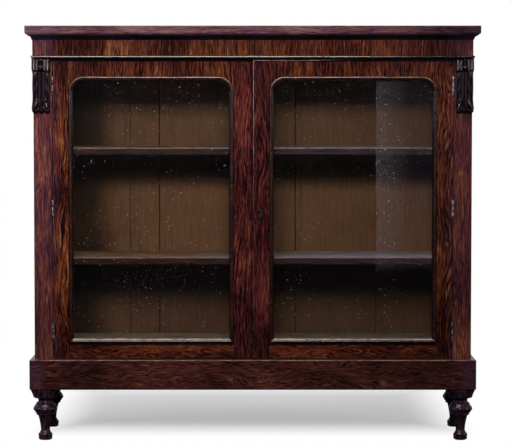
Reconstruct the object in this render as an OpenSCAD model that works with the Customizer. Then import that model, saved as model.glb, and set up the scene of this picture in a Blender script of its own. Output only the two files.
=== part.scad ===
// Glazed display cabinet on turned feet: two arched glass doors, two fixed shelves, boarded back.
// Origin: centre of the footprint, on the floor. X runs right, Y from the doors to the back, Z up.
// All lengths are in millimetres.

/* [Overall] */
// Width over the top board
top_w = 1220; // [1100:1:1400]
// Depth over the top board
top_d = 355; // [320:1:460]
// Height of the top face above the floor
total_h = 1120; // [1060:1:1200]

/* [Top and frieze] */
// Thickness of the top board
top_t = 24; // [18:0.5:30]
// How far the top board stands out past the frieze, at the front and the sides
top_overhang = 19; // [17:0.5:30]
// Radius of the quarter round on the lower edge of the top board
top_round = 7; // [3:0.5:10]
// Height of the hollow moulding under the top board
top_mould_h = 13.5; // [7:0.5:16]
// Projection of the hollow moulding at its top
top_mould_p = 12; // [8:0.5:15]
// Height of the frieze between the hollow moulding and the bead
frieze_h = 42; // [35:0.5:70]
// Thickness of the frieze board, which is also the step from frieze to doors
frieze_t = 24.5; // [22:0.5:35]
// Height of the bead under the frieze
bead_h = 7; // [5:0.5:10]
// Projection of the bead
bead_p = 4.5; // [3.5:0.5:7]

/* [Carcass] */
// Thickness of the end panels
panel_t = 20; // [16:0.5:26]
// Width of the pilasters
pilaster_w = 50; // [45:0.5:70]
// Thickness of the shelves and of the bottom board
shelf_t = 19; // [16:0.5:26]
// Height of the upper shelf's top face above the floor
upper_shelf_z = 792; // [700:1:860]
// Height of the lower shelf's top face above the floor
lower_shelf_z = 494; // [400:1:600]
// Height of the bottom board's top face above the plinth
bottom_board_rise = 39.5; // [32:0.5:50]
// Distance from the pilasters' back to the shelves' front edge
shelf_setback = 5; // [3:0.5:20]
// Section of the bearers that carry the shelves
bearer_w = 13; // [10:0.5:18]
// Height of the bearers
bearer_h = 18; // [12:0.5:26]
// Thickness of the rail that closes the carcass under the doors
front_rail_t = 20; // [14:0.5:26]
// Thickness of the panel under the top board
inner_top_t = 20; // [16:0.5:26]
// Depth of the grooves that hold the bottom board and the inner top
housing = 6; // [4:0.5:9]
// Thickness of the back boards
back_t = 10; // [8:0.5:14]
// Thickness of the strip that stops the doors at the top
stop_t = 12; // [8:0.5:18]
// How far the stop strip hangs below the rail above the doors
stop_drop = 18; // [10:0.5:24]

/* [Plinth and feet] */
// Height of the plinth
plinth_h = 80.5; // [60:0.5:110]
// Thickness of the plinth boards
plinth_t = 20; // [16:0.5:24]
// Projection of the plinth past the end panels
plinth_side_step = 12; // [8:0.5:16]
// Projection of the plinth in front of the doors
plinth_front_step = 29; // [20:0.5:32]
// Height of the turned feet
foot_h = 140; // [110:0.5:170]
// Largest radius of the turned feet, at the collar
foot_collar_r = 39; // [34:0.5:42]
// Radius of the knop of the turned feet
foot_knop_r = 32; // [26:0.5:34]
// Radius of the bulb that stands on the floor
foot_bulb_r = 19.5; // [16:0.5:24]
// Radius of the spigot on top of each foot
spigot_r = 11; // [8:0.5:12]
// Length of the spigot
spigot_l = 45; // [30:1:52]
// Side of the square blocks inside the plinth corners
block_side = 60; // [56:1:90]
// Thickness of the rail that closes the plinth at the front
plinth_rail_t = 20; // [16:0.5:24]
// Depth of that rail from front to back
plinth_rail_d = 62; // [60:1:90]
// How far the rear feet stand wider apart than the front ones, on each side
rear_foot_spread = 5; // [0:0.5:6]
// Distance from the back of the plinth to the centre of the rear feet
rear_foot_inset = 54; // [42:0.5:56]

/* [Corbels] */
// Height of the carved corbels
corbel_h = 148; // [110:1:170]
// Distance from the pilaster's inner edge to the corbel
corbel_inset = 3.5; // [3:0.5:6]
// How far the corbel swells past the pilaster's outer edge
corbel_swell = 3.5; // [2:0.5:5]
// Space between the corbel's front and the frieze's front
corbel_setback = 1; // [0.5:0.5:4]

/* [Doors] */
// Thickness of the doors
door_t = 24.5; // [22:0.5:32]
// Gap between a closed door's back and the edges that stop it
door_stop_gap = 0.5; // [0.4:0.1:1]
// Width of the hinge stiles
hinge_stile_w = 42; // [38:0.5:60]
// Width of the meeting stiles
meeting_stile_w = 47; // [44:0.5:65]
// Height of the doors' top rails
top_rail_h = 46; // [38:0.5:60]
// Height of the doors' bottom rails
bottom_rail_h = 40; // [38:0.5:60]
// Radius of the arched upper corners of the openings
arch_r = 42; // [30:0.5:55]
// Length of the tenons on the door rails
tenon_l = 20; // [14:0.5:24]
// Thickness of the tenons
tenon_t = 8; // [6:0.5:10]
// Gap between a door and its pilaster
hinge_gap = 1.5; // [1:0.1:2.5]
// Gap between the two doors
meeting_gap = 2; // [1.6:0.1:3]
// Offset of the closing line from the centre
meeting_x = -3.5; // [-6:0.5:0]
// Gap above and below the doors
door_gap = 2; // [1.5:0.1:4]
// Width of the sight moulding round the glass
sight_w = 13; // [8:0.5:14]
// How far the sight moulding's outer edge stands proud of the door
sight_proud = 0.8; // [0.4:0.1:1.5]
// Depth of the sight moulding behind the door's face, where the glass lies
sight_d = 13; // [10:0.5:15]
// Thickness of the glass
glass_t = 3; // [2:0.5:4]
// Width of the beads that hold the glass from behind
glazing_w = 8; // [6:0.5:10]
// Width of the bead on the meeting edge
meeting_bead_w = 12; // [8:0.5:16]
// Height of that bead above the door's face
meeting_bead_h = 4; // [2.5:0.5:6]

/* [Hinges] */
// Length of each butt hinge
hinge_l = 50; // [40:1:65]
// Distance from the door's end to the middle of the hinge
hinge_end = 72; // [55:1:110]
// Width of a hinge leaf
leaf_w = 17; // [14:0.5:19]
// Thickness of a hinge leaf
leaf_t = 1.6; // [1.2:0.1:2]
// Outer radius of the knuckles
knuckle_r = 3.2; // [2.8:0.1:4]
// Radius of the hinge pins
pin_r = 1.5; // [1.2:0.1:1.8]
// Radius of the screw heads in the hinge leaves
screw_head_r = 2.8; // [2.2:0.1:3.2]
// Radius of the screw shanks
screw_r = 1.4; // [1:0.1:1.7]
// Length of the hinge screws
screw_l = 14; // [9:0.5:18]

/* [Lock and bolts] */
// Height of the lock's centre above the floor
lock_z = 619; // [560:1:680]
// Height of the lock case
lock_h = 64; // [50:1:80]
// Depth of the lock case from the door's edge
lock_w = 36; // [32:0.5:40]
// Thickness of the lock case
lock_t = 12; // [10:0.5:12]
// Distance from the door's edge to the keyhole
keyhole_x = 22; // [18:0.5:24]
// Height of the lock bolt
lock_bolt_h = 20; // [14:0.5:26]
// Thickness of the lock bolt
lock_bolt_t = 6; // [4:0.5:7]
// Travel of the lock bolt
lock_throw = 8; // [5:0.5:9]
// Width of the keyhole plate
escutcheon_w = 13; // [11:0.5:18]
// Height of the keyhole plate
escutcheon_h = 24; // [20:0.5:34]
// Radius of the sliding bolts in the left door
bolt_r = 3; // [2.5:0.1:3.5]
// Length of those bolts
bolt_l = 110; // [80:1:150]
// Travel of those bolts
bolt_throw = 10; // [6:0.5:12]
// Width of the plates over the bolts
bolt_plate_w = 12; // [10:0.5:14]
// Length of the plates over the bolts
bolt_plate_l = 70; // [60:1:90]
// Thickness of those plates and of the keepers
bolt_plate_t = 1.5; // [1.2:0.1:2]

/* [Hidden] */
$fn = 64;

// Clearances
fit = 0.1;          // between pieces glued or let in on the same body
run = 0.05;         // radial, between a hinge pin and its knuckle
slide = 0.3;        // between a bolt and what it slides in
knuckle_gap = 0.3;  // between neighbouring knuckles
notch_gap = 0.4;    // between a knuckle and the wood round it
over = 1;           // how far a cutting shape runs past what it cuts

// Heights
plinth_z = foot_h;
base_z = plinth_z + plinth_h;
door_z0 = base_z + door_gap;
slab_z = total_h - top_t;
mould_z = slab_z - top_mould_h;
bead_z = mould_z - frieze_h - bead_h;
door_z1 = bead_z - door_gap;
board_z = base_z + bottom_board_rise;
inner_top_z = slab_z - inner_top_t;
corbel_z = bead_z - corbel_h;

// Depths, from the front to the back
top_y0 = -top_d / 2;
back_y = top_d / 2;
frieze_y = top_y0 + top_overhang;
face_y = frieze_y + frieze_t;
door_back_y = face_y + door_t;
case_y = door_back_y + door_stop_gap;
shelf_y = case_y + shelf_setback;
lining_y = back_y - back_t;
plinth_y = face_y - plinth_front_step;
sight_back_y = face_y + sight_d;
glass_back_y = sight_back_y + glass_t;
tenon_y = face_y + (door_t - tenon_t) / 2;

// Widths
case_x = top_w / 2 - top_overhang;
inside_x = case_x - panel_t;
plinth_x = case_x + plinth_side_step;
door_x = case_x - pilaster_w;
pin_x = door_x - hinge_gap / 2;
left_x0 = -door_x + hinge_gap;
left_x1 = meeting_x - meeting_gap / 2;
right_x0 = meeting_x + meeting_gap / 2;
right_x1 = door_x - hinge_gap;
corbel_x0 = door_x + corbel_inset;
corbel_x1 = case_x + corbel_swell;

// Sight openings
open_z0 = door_z0 + bottom_rail_h;
open_z1 = door_z1 - top_rail_h;
left_open_x0 = left_x0 + hinge_stile_w;
left_open_x1 = left_x1 - meeting_stile_w;
right_open_x0 = right_x0 + meeting_stile_w;
right_open_x1 = right_x1 - hinge_stile_w;

// Feet
foot_x = plinth_x - foot_collar_r;
front_foot_y = plinth_y + foot_collar_r;
rear_foot_y = back_y - rear_foot_inset;
rear_foot_x = foot_x + rear_foot_spread;

// Hinges and hardware
hinge_zs = [door_z0 + hinge_end, (door_z0 + door_z1) / 2, door_z1 - hinge_end];
mid_knuckle = hinge_l / 3;
screw_pitch = hinge_l / 3;
bolt_x = left_x1 - 8.5;
bolt_y = face_y + door_t / 2;
top_bolt_tip = door_z1 - slide;
bottom_bolt_tip = door_z0 + slide;
thumb_to_end = 26;
thumb_from_tip = bolt_l - thumb_to_end;
lock_x1 = right_x0 + lock_w;
lock_y0 = face_y + (door_t - lock_t) / 2;
key_x = right_x0 + keyhole_x;

// Corbels
corbel_w = corbel_x1 - corbel_x0;
corbel_p = frieze_t - corbel_setback;
corbel_scroll_r = corbel_p * 0.48;
corbel_strands = 7;
corbel_tips = 3;
corbel_tip_w = corbel_w / corbel_tips;
corbel_tip_top = 0.24;
corbel_lean = 5;
corbel_foot = 0.12;
corbel_neck = 0.82;

// Small parts of the carcass
bearer_setback = 10;
nail_r = 1.2;
nail_head_r = 2.6;
nail_head_t = 1;
nail_l = 28;
nail_edge = 18;

// Turning of the feet
foot_neck_r = 18.5;
foot_base_r = 13;
foot_bulb_z = 11.5;
foot_collar_h = 30;
foot_neck_h = 10;
foot_bowl_h = 20;
collar_z = foot_h - foot_collar_h;
neck_z = collar_z - foot_neck_h;
knop_z = neck_z - foot_bowl_h;
shaft_z0 = 25;
shaft_z1 = knop_z - 13;

// Door joints and the bead on the meeting edge
tenon_shoulder = 6;
meeting_bead_r = (pow(meeting_bead_w / 2, 2) + pow(meeting_bead_h, 2)) / (2 * meeting_bead_h);

// Sliding bolts, strike plate, lock and keyhole
thumb_r = 2;
thumb_slot = thumb_r + slide;
keeper_l = 30;
strike_w = lock_bolt_t + 8;
strike_rim = 10;
strike_h = lock_bolt_h + 2 * strike_rim;
lock_wall = 1.5;
key_r = 3;
key_slot_w = 2.4;
key_slot_l = 8;
escutcheon_t = 1.6;
escutcheon_proud = 0.8;

// Meeting lines between the back boards, as seen through the glass
board_joints = [-347, -265, -36, 120, 349];
board_edges = concat([-case_x], board_joints, [case_x]);

// Colours
rosewood = "#4a2318";
carved = "#241016";
pine = "#7a5c3a";
brass = "#b08d4a";
iron = "#4a4643";
pane = "#c8d4d6";

// A plate standing in the XZ plane between two depths; its outline is drawn in X and Z
module upright(y0, y1) {
    translate([0, y1, 0])
        rotate([90, 0, 0])
            linear_extrude(height = y1 - y0)
                children();
}

// A box from one corner to the other
module block(a, b) {
    translate(a)
        cube(b - a);
}

// An outline of points given as [depth, height], drawn out along X
module along_x(x0, x1) {
    translate([x0, 0, 0])
        rotate([90, 0, 90])
            linear_extrude(height = x1 - x0)
                children();
}

// What has to come off a lower edge that runs along X, to leave a quarter round
module lower_edge_cut(length, r) {
    difference() {
        translate([-length / 2, -over, -over])
            cube([length, r + over, r + over]);
        translate([0, r, r])
            rotate([0, 90, 0])
                cylinder(r = r, h = length + 2 * over, center = true);
    }
}

// Top

module top_board() {
    color(rosewood)
        difference() {
            block([-top_w / 2, top_y0, slab_z], [top_w / 2, back_y, total_h]);
            translate([0, top_y0, slab_z])
                lower_edge_cut(top_w + 2 * over, top_round);
            for (s = [0, 1])
                mirror([s, 0, 0])
                    translate([top_w / 2, 0, slab_z])
                        rotate([0, 0, 90])
                            lower_edge_cut(top_d + 2 * over, top_round);
        }
}

// Outline of the hollow moulding: [projection, height above its foot]
function hollow_points(p, h, steps = 12) = concat(
    [[0, 0], [p * 0.12, 0]],
    [for (i = [0 : steps]) let (a = 90 * i / steps)
        [p - (p * 0.8) * cos(a), h * 0.12 + h * 0.7 * sin(a)]],
    [[p, h], [0, h]]
);

// Outline of the bead: [projection, height above its foot]
function bead_points(p, h, steps = 16) = concat(
    [[0, 0], [p - h / 2, 0]],
    [for (i = [1 : steps - 1]) let (a = -90 + 180 * i / steps)
        [p - h / 2 + h / 2 * cos(a), h / 2 + h / 2 * sin(a)]],
    [[p - h / 2, h], [0, h]]
);

// A moulding along the front of the frieze, mitred at both ends
module profile_front(points, p, h, z) {
    intersection() {
        translate([0, frieze_y, z])
            along_x(-case_x - p, case_x + p)
                polygon([for (q = points) [-q[0], q[1]]]);
        translate([0, 0, z - over])
            linear_extrude(height = h + 2 * over)
                polygon([[-case_x - p + fit, frieze_y - p], [case_x + p - fit, frieze_y - p],
                    [case_x - fit, frieze_y], [-case_x + fit, frieze_y]]);
    }
}

// The same moulding along one end of the cabinet, mitred at the front
module profile_end(points, p, h, z) {
    intersection() {
        translate([case_x, back_y, z])
            rotate([90, 0, 0])
                linear_extrude(height = back_y - frieze_y + p)
                    polygon(points);
        translate([0, 0, z - over])
            linear_extrude(height = h + 2 * over)
                polygon([
                    [case_x, frieze_y], [case_x + p, frieze_y - p],
                    [case_x + p, back_y], [case_x, back_y]
                ]);
    }
}

module top_moulding_front() {
    color(rosewood)
        profile_front(hollow_points(top_mould_p, top_mould_h), top_mould_p, top_mould_h, mould_z);
}

module top_moulding_returns() {
    color(rosewood)
        for (s = [0, 1])
            mirror([s, 0, 0])
                profile_end(hollow_points(top_mould_p, top_mould_h), top_mould_p, top_mould_h, mould_z);
}

module frieze_front() {
    color(rosewood)
        block([-case_x, frieze_y, bead_z], [case_x, face_y, slab_z]);
}

// Three lengths: the front and the two ends
module frieze_bead() {
    color(rosewood) {
        profile_front(bead_points(bead_p, bead_h), bead_p, bead_h, bead_z);
        for (s = [0, 1])
            mirror([s, 0, 0])
                profile_end(bead_points(bead_p, bead_h), bead_p, bead_h, bead_z);
    }
}

// Carcass

module head_rail() {
    color(pine)
        difference() {
            block([-door_x, face_y, bead_z], [door_x, case_y, slab_z]);
            top_keeper_cut();
        }
}

module door_stop_strip() {
    color(pine)
        block([-inside_x, case_y, bead_z - stop_drop], [inside_x, case_y + stop_t, inner_top_z]);
}

// The grooves that take a board's end, at the side where x is positive
module board_groove(z0, z1) {
    block([inside_x - over, case_y - over, z0], [inside_x + housing, lining_y + over, z1]);
}

module end_panel() {
    difference() {
        block([inside_x, case_y, base_z], [case_x, lining_y, slab_z]);
        board_groove(board_z - shelf_t - fit, board_z + fit);
        board_groove(inner_top_z - fit, slab_z + over);
    }
}

module right_end_panel() {
    color(rosewood)
        end_panel();
}

module left_end_panel() {
    color(rosewood)
        mirror([1, 0, 0])
            end_panel();
}

module pilaster() {
    difference() {
        block([door_x, face_y, base_z], [case_x, case_y, slab_z]);
        for (z = hinge_zs)
            translate([0, 0, z])
                frame_hinge_cut();
    }
}

module right_pilaster() {
    color(rosewood)
        pilaster();
}

module left_pilaster() {
    color(rosewood)
        mirror([1, 0, 0])
            pilaster();
}

module inner_top_panel() {
    color(pine)
        difference() {
            block([-inside_x - housing + fit, case_y, inner_top_z],
                [inside_x + housing - fit, lining_y, slab_z]);
            nails(run, false);
        }
}

module bottom_board() {
    color(pine)
        difference() {
            block([-inside_x - housing + fit, case_y, board_z - shelf_t],
                [inside_x + housing - fit, lining_y, board_z]);
            nails(run, false);
        }
}

module bottom_front_rail() {
    color(pine)
        block([-inside_x, case_y, base_z], [inside_x, case_y + front_rail_t, board_z - shelf_t]);
}

module shelf(z) {
    block([-inside_x + fit, shelf_y, z - shelf_t], [inside_x - fit, lining_y - fit, z]);
}

module upper_shelf() {
    color(pine)
        shelf(upper_shelf_z);
}

module lower_shelf() {
    color(pine)
        shelf(lower_shelf_z);
}

module shelf_bearers() {
    color(pine)
        for (z = [upper_shelf_z, lower_shelf_z])
            for (s = [0, 1])
                mirror([s, 0, 0])
                    block([inside_x - bearer_w, shelf_y + bearer_setback, z - shelf_t - bearer_h],
                        [inside_x, lining_y - fit, z - shelf_t]);
}

// Nails at the top and the bottom of each back board
module nails(grow, with_heads) {
    for (i = [0 : len(board_edges) - 2])
        for (x = [board_edges[i] + nail_edge, board_edges[i + 1] - nail_edge])
            for (z = [board_z - shelf_t / 2, slab_z - inner_top_t / 2])
                translate([min(max(x, -inside_x + nail_edge), inside_x - nail_edge), back_y, z])
                    rotate([90, 0, 0]) {
                        cylinder(r = nail_r + grow, h = nail_l + grow);
                        if (with_heads)
                            cylinder(r = nail_head_r + grow, h = nail_head_t);
                    }
}

module back_boards() {
    color(pine)
        difference() {
            for (i = [0 : len(board_edges) - 2])
                block([board_edges[i] + (i == 0 ? 0 : fit), lining_y, base_z],
                    [board_edges[i + 1] - (i == len(board_edges) - 2 ? 0 : fit), back_y, slab_z]);
            nails(run, true);
        }
}

module back_nails() {
    color(iron)
        nails(0, true);
}

// Plinth

// Plan of the mitred front board
module plinth_front_plan() {
    polygon([[-plinth_x, plinth_y], [plinth_x, plinth_y], [plinth_x - plinth_t, plinth_y + plinth_t],
        [-plinth_x + plinth_t, plinth_y + plinth_t]]);
}

module plinth_front() {
    color(rosewood)
        translate([0, 0, plinth_z])
            linear_extrude(height = plinth_h)
                plinth_front_plan();
}

module plinth_end() {
    translate([0, 0, plinth_z])
        linear_extrude(height = plinth_h)
            polygon([[plinth_x, plinth_y], [plinth_x, back_y], [plinth_x - plinth_t, back_y],
                [plinth_x - plinth_t, plinth_y + plinth_t]]);
}

module plinth_right() {
    color(rosewood)
        plinth_end();
}

module plinth_left() {
    color(rosewood)
        mirror([1, 0, 0])
            plinth_end();
}

module plinth_back() {
    color(pine)
        block([-plinth_x + plinth_t, back_y - plinth_t, plinth_z], [plinth_x - plinth_t, back_y, base_z]);
}

module plinth_top_rail() {
    color(pine)
        difference() {
            block([-plinth_x + plinth_t, plinth_y + plinth_t, base_z - plinth_rail_t],
                [plinth_x - plinth_t, plinth_y + plinth_t + plinth_rail_d, base_z]);
            bottom_keeper_cut();
        }
}

// Feet

// Radius of the tapered shaft at a share of its height
function shaft_r(t) = foot_neck_r * 0.62 + foot_neck_r * 0.42 * pow(t, 1.6);

// Half outline of a foot: [radius, height above the floor]
function foot_points(steps = 10) = concat(
    [[0, 0], [foot_base_r, 0]],
    [for (i = [0 : steps]) let (a = -60 + 120 * i / steps)
        [foot_bulb_r - foot_bulb_z + foot_bulb_z * cos(a), foot_bulb_z + foot_bulb_z * sin(a)]],
    [for (i = [0 : steps]) let (t = i / steps)
        [shaft_r(t), shaft_z0 + (shaft_z1 - shaft_z0) * t]],
    [[foot_neck_r + 3, shaft_z1 + 1], [foot_neck_r + 4, shaft_z1 + 4]],
    [for (i = [0 : steps]) let (a = -80 + 130 * i / steps)
        [foot_knop_r - 5.5 + 5.5 * cos(a), knop_z - 2 + 5.5 * sin(a)]],
    [for (i = [1 : steps]) let (t = i / steps)
        [foot_knop_r - 2 - (foot_knop_r - 2 - foot_neck_r) * pow(t, 1.25),
            knop_z + 2.5 + (neck_z - knop_z - 2.5) * t]],
    [[foot_neck_r, collar_z - 1], [foot_collar_r * 0.8, collar_z]],
    [for (i = [0 : steps]) let (a = 90 * i / steps)
        [foot_collar_r * 0.82 + foot_collar_r * 0.18 * sin(a),
            collar_z + 2 + (foot_h - collar_z - 6) * (1 - cos(a))]],
    [[foot_collar_r, foot_h], [0, foot_h]]
);

module foot(x, y) {
    color(carved)
        translate([x, y, 0]) {
            rotate_extrude()
                polygon(foot_points());
            translate([0, 0, foot_h])
                cylinder(r = spigot_r, h = spigot_l);
        }
}

module front_left_foot() {
    foot(-foot_x, front_foot_y);
}

module front_right_foot() {
    foot(foot_x, front_foot_y);
}

module rear_left_foot() {
    foot(-rear_foot_x, rear_foot_y);
}

module rear_right_foot() {
    foot(rear_foot_x, rear_foot_y);
}

module foot_block(x, y, y0) {
    difference() {
        block([plinth_x - plinth_t - block_side, y0, plinth_z],
            [plinth_x - plinth_t, y0 + block_side, base_z - plinth_rail_t]);
        translate([x, y, plinth_z - over])
            cylinder(r = spigot_r + fit, h = spigot_l + over + fit);
    }
}

module foot_blocks() {
    color(pine)
        for (s = [0, 1])
            mirror([s, 0, 0]) {
                foot_block(foot_x, front_foot_y, plinth_y + plinth_t);
                foot_block(rear_foot_x, rear_foot_y, back_y - plinth_t - block_side);
            }
}

// Corbels

// Projection of the corbel's body at a share of its height, from the foot up
function corbel_depth(t) = corbel_p * (0.36 + 0.24 * t + 0.2 * pow(cos(90 * min(t / 0.4, 1)), 2));

// Share of the full depth that a strand has: the odd ones stand back, and so do those near the edges
function strand_share(i) = (i % 2 == 0 ? 1 : 0.82)
    - 0.12 * abs(i - (corbel_strands - 1) / 2) / corbel_strands;

// Side view of one strand, from the foot to the neck
function strand_points(share, steps = 10) = concat(
    [[face_y, corbel_z + corbel_h * corbel_foot]],
    [for (i = [0 : steps]) let (t = corbel_foot + (corbel_neck - corbel_foot) * i / steps)
        [face_y - corbel_depth(t) * share, corbel_z + corbel_h * t]],
    [[face_y, corbel_z + corbel_h * corbel_neck]]
);

// One roll of the head, lying along X, with the block that carries it
module corbel_roll(x, w, r) {
    translate([x, face_y - corbel_p + corbel_scroll_r, bead_z - corbel_scroll_r])
        rotate([0, 90, 0])
            cylinder(r = r, h = w);
    block([x, face_y - corbel_p + corbel_scroll_r, corbel_z + corbel_h * corbel_neck],
        [x + w, face_y, bead_z]);
}

// One leaf tip, a pointed leaf that leans outward as it comes down
module corbel_tip(x, lean) {
    top = corbel_z + corbel_h * corbel_tip_top;
    mid = corbel_z + corbel_h * corbel_tip_top * 0.45;
    upright(face_y - corbel_p * 0.62, face_y)
        polygon([
            [x - corbel_tip_w * 0.3, top],
            [x - corbel_tip_w * 0.5 + lean * 0.5, mid],
            [x + lean, corbel_z],
            [x + corbel_tip_w * 0.5 + lean * 0.5, mid],
            [x + corbel_tip_w * 0.3, top],
        ]);
}

module corbel() {
    strand_w = (corbel_w - 2 * corbel_swell) / corbel_strands;
    roll_w = corbel_w / corbel_strands;
    color(carved)
        union() {
            for (i = [0 : corbel_strands - 1]) {
                x = corbel_x0 + corbel_swell + i * strand_w;
                along_x(x, x + strand_w)
                    polygon(strand_points(strand_share(i)));
                corbel_roll(corbel_x0 + i * roll_w, roll_w, corbel_scroll_r * strand_share(i));
            }
            for (i = [0 : corbel_tips - 1])
                corbel_tip(corbel_x0 + corbel_swell + (corbel_w - 2 * corbel_swell) * (i + 0.5) / corbel_tips,
                    corbel_lean * (i - (corbel_tips - 1) / 2));
        }
}

module right_corbel() {
    corbel();
}

module left_corbel() {
    mirror([1, 0, 0])
        corbel();
}

// Doors

// Outline of an opening with arched upper corners, drawn in by an inset on every side
module arched_opening(x0, x1, inset) {
    r = arch_r - inset;
    translate([x0 + inset, open_z0 + inset])
        square([x1 - x0 - 2 * inset, open_z1 - open_z0 - arch_r - inset]);
    translate([x0 + arch_r, open_z0 + inset])
        square([x1 - x0 - 2 * arch_r, open_z1 - open_z0 - 2 * inset]);
    for (x = [x0 + arch_r, x1 - arch_r])
        translate([x, open_z1 - arch_r])
            circle(r = r);
}

// The tenons at the two ends of a rail, or the mortises that take them when grown by a clearance
module rail_tenons(x0, x1, z0, z1, grow) {
    for (x = [x0 - tenon_l - grow, x1 - over])
        block([x, tenon_y - grow, z0 + tenon_shoulder - grow],
            [x + tenon_l + over + grow, tenon_y + tenon_t + grow, z1 - tenon_shoulder + grow]);
}

module door_mortises(x0, x1) {
    rail_tenons(x0, x1, door_z0, open_z0, fit);
    rail_tenons(x0, x1, open_z1, door_z1, fit);
}

module hinge_stile(x0, x1, side, open_x0, open_x1) {
    color(rosewood)
        difference() {
            block([x0, face_y, door_z0], [x1, door_back_y, door_z1]);
            door_mortises(open_x0, open_x1);
            for (z = hinge_zs)
                translate([0, 0, z])
                    mirror([side, 0, 0])
                        door_hinge_cut();
        }
}

module left_hinge_stile() {
    hinge_stile(left_x0, left_open_x0, 1, left_open_x0, left_open_x1);
}

module right_hinge_stile() {
    hinge_stile(right_open_x1, right_x1, 0, right_open_x0, right_open_x1);
}

module left_meeting_stile() {
    color(rosewood)
        difference() {
            block([left_open_x1, face_y, door_z0], [left_x1, door_back_y, door_z1]);
            door_mortises(left_open_x0, left_open_x1);
            bolt_cut(top_bolt_tip, 1);
            bolt_cut(bottom_bolt_tip, -1);
            strike_cut();
        }
}

module right_meeting_stile() {
    color(rosewood)
        difference() {
            block([right_x0, face_y, door_z0], [right_open_x0, door_back_y, door_z1]);
            door_mortises(right_open_x0, right_open_x1);
            block([right_x0 - over, lock_y0 - fit, lock_z - lock_h / 2 - fit],
                [lock_x1 + fit, lock_y0 + lock_t + fit, lock_z + lock_h / 2 + fit]);
            keyhole(face_y - over, lock_y0 + over);
            escutcheon_plate(fit);
        }
}

module top_rail(open_x0, open_x1) {
    color(rosewood)
        union() {
            difference() {
                block([open_x0, face_y, open_z1 - arch_r], [open_x1, door_back_y, door_z1]);
                upright(face_y - over, door_back_y + over)
                    arched_opening(open_x0, open_x1, 0);
            }
            rail_tenons(open_x0, open_x1, open_z1, door_z1, 0);
        }
}

module left_top_rail() {
    top_rail(left_open_x0, left_open_x1);
}

module right_top_rail() {
    top_rail(right_open_x0, right_open_x1);
}

module bottom_rail(open_x0, open_x1) {
    color(rosewood)
        union() {
            block([open_x0, face_y, door_z0], [open_x1, door_back_y, open_z0]);
            rail_tenons(open_x0, open_x1, door_z0, open_z0, 0);
        }
}

module left_bottom_rail() {
    bottom_rail(left_open_x0, left_open_x1);
}

module right_bottom_rail() {
    bottom_rail(right_open_x0, right_open_x1);
}

// Section of the sight moulding: [distance in from the opening's edge, depth behind the door's face]
function sight_points(steps = 8) = concat(
    [[0, -sight_proud], [sight_w * 0.14, -sight_proud], [sight_w * 0.2, 0]],
    [for (i = [0 : steps]) let (a = 90 * i / steps)
        [sight_w * 0.24 + sight_w * 0.7 * (1 - cos(a)), 1 + (sight_d * 0.66 - 1) * sin(a)]],
    [[sight_w, sight_d * 0.74], [sight_w, sight_d], [0, sight_d]]
);

// Section of the square beads behind the glass
function glazing_points() = [
    [0, sight_d + glass_t], [glazing_w, sight_d + glass_t], [glazing_w, door_t], [0, door_t]
];

// The region under the mitres of the two lower corners, with the mitre lines lifted a little
module mitre_region(x0, x1, w, lift) {
    z = open_z0 + lift;
    upright(face_y - over - sight_proud, door_back_y + over)
        polygon([[x0 - over, open_z0 - 2 * over], [x1 + over, open_z0 - 2 * over], [x1 + over, z - over],
            [x1 - w - over, z + w + over], [x0 + w + over, z + w + over], [x0 - over, z - over]]);
}

// An upright member of a glazing frame with its arched corner, at the left of the opening
module frame_side(x0, x1, w, points) {
    difference() {
        union() {
            translate([x0, face_y, open_z0])
                linear_extrude(height = open_z1 - arch_r - open_z0)
                    polygon(points);
            translate([x0 + arch_r, face_y, open_z1 - arch_r])
                rotate([-90, 0, 0])
                    rotate([0, 0, 180])
                        rotate_extrude(angle = 90)
                            polygon([for (q = points) [arch_r - q[0], q[1]]]);
        }
        mitre_region(x0, x1, w, fit / 2);
    }
}

// Four members round an opening: two sides with their arched corners, the top and the bottom
module glazing_frame(x0, x1, w, points) {
    frame_side(x0, x1, w, points);
    translate([x0 + x1, 0, 0])
        mirror([1, 0, 0])
            frame_side(x0, x1, w, points);
    translate([x0 + arch_r + fit, face_y, open_z1])
        rotate([0, 90, 0])
            linear_extrude(height = x1 - x0 - 2 * arch_r - 2 * fit)
                polygon(points);
    intersection() {
        translate([x1, face_y, open_z0])
            rotate([0, -90, 0])
                linear_extrude(height = x1 - x0)
                    polygon(points);
        mitre_region(x0, x1, w, -fit / 2);
    }
}

module left_sight_moulding() {
    color(rosewood)
        glazing_frame(left_open_x0, left_open_x1, sight_w, sight_points());
}

module right_sight_moulding() {
    color(rosewood)
        glazing_frame(right_open_x0, right_open_x1, sight_w, sight_points());
}

module left_glazing_beads() {
    color(rosewood)
        glazing_frame(left_open_x0, left_open_x1, glazing_w, glazing_points());
}

module right_glazing_beads() {
    color(rosewood)
        glazing_frame(right_open_x0, right_open_x1, glazing_w, glazing_points());
}

module glass(x0, x1) {
    color(pane)
        upright(sight_back_y, glass_back_y)
            arched_opening(x0, x1, fit);
}

module left_glass() {
    glass(left_open_x0, left_open_x1);
}

module right_glass() {
    glass(right_open_x0, right_open_x1);
}

// A half-round bead on the right door's meeting edge
module meeting_bead() {
    color(rosewood)
        translate([right_x0, face_y, door_z0])
            linear_extrude(height = door_z1 - door_z0)
                intersection() {
                    translate([meeting_bead_w / 2, meeting_bead_r - meeting_bead_h])
                        circle(r = meeting_bead_r);
                    translate([0, -meeting_bead_h])
                        square([meeting_bead_w, meeting_bead_h]);
                }
}

// Hinges, drawn for the right door with the pin at [pin_x, face_y] and the middle of the hinge at z = 0

module on_pin(r, z0, z1) {
    translate([pin_x, face_y, z0])
        cylinder(r = r, h = z1 - z0);
}

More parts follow.
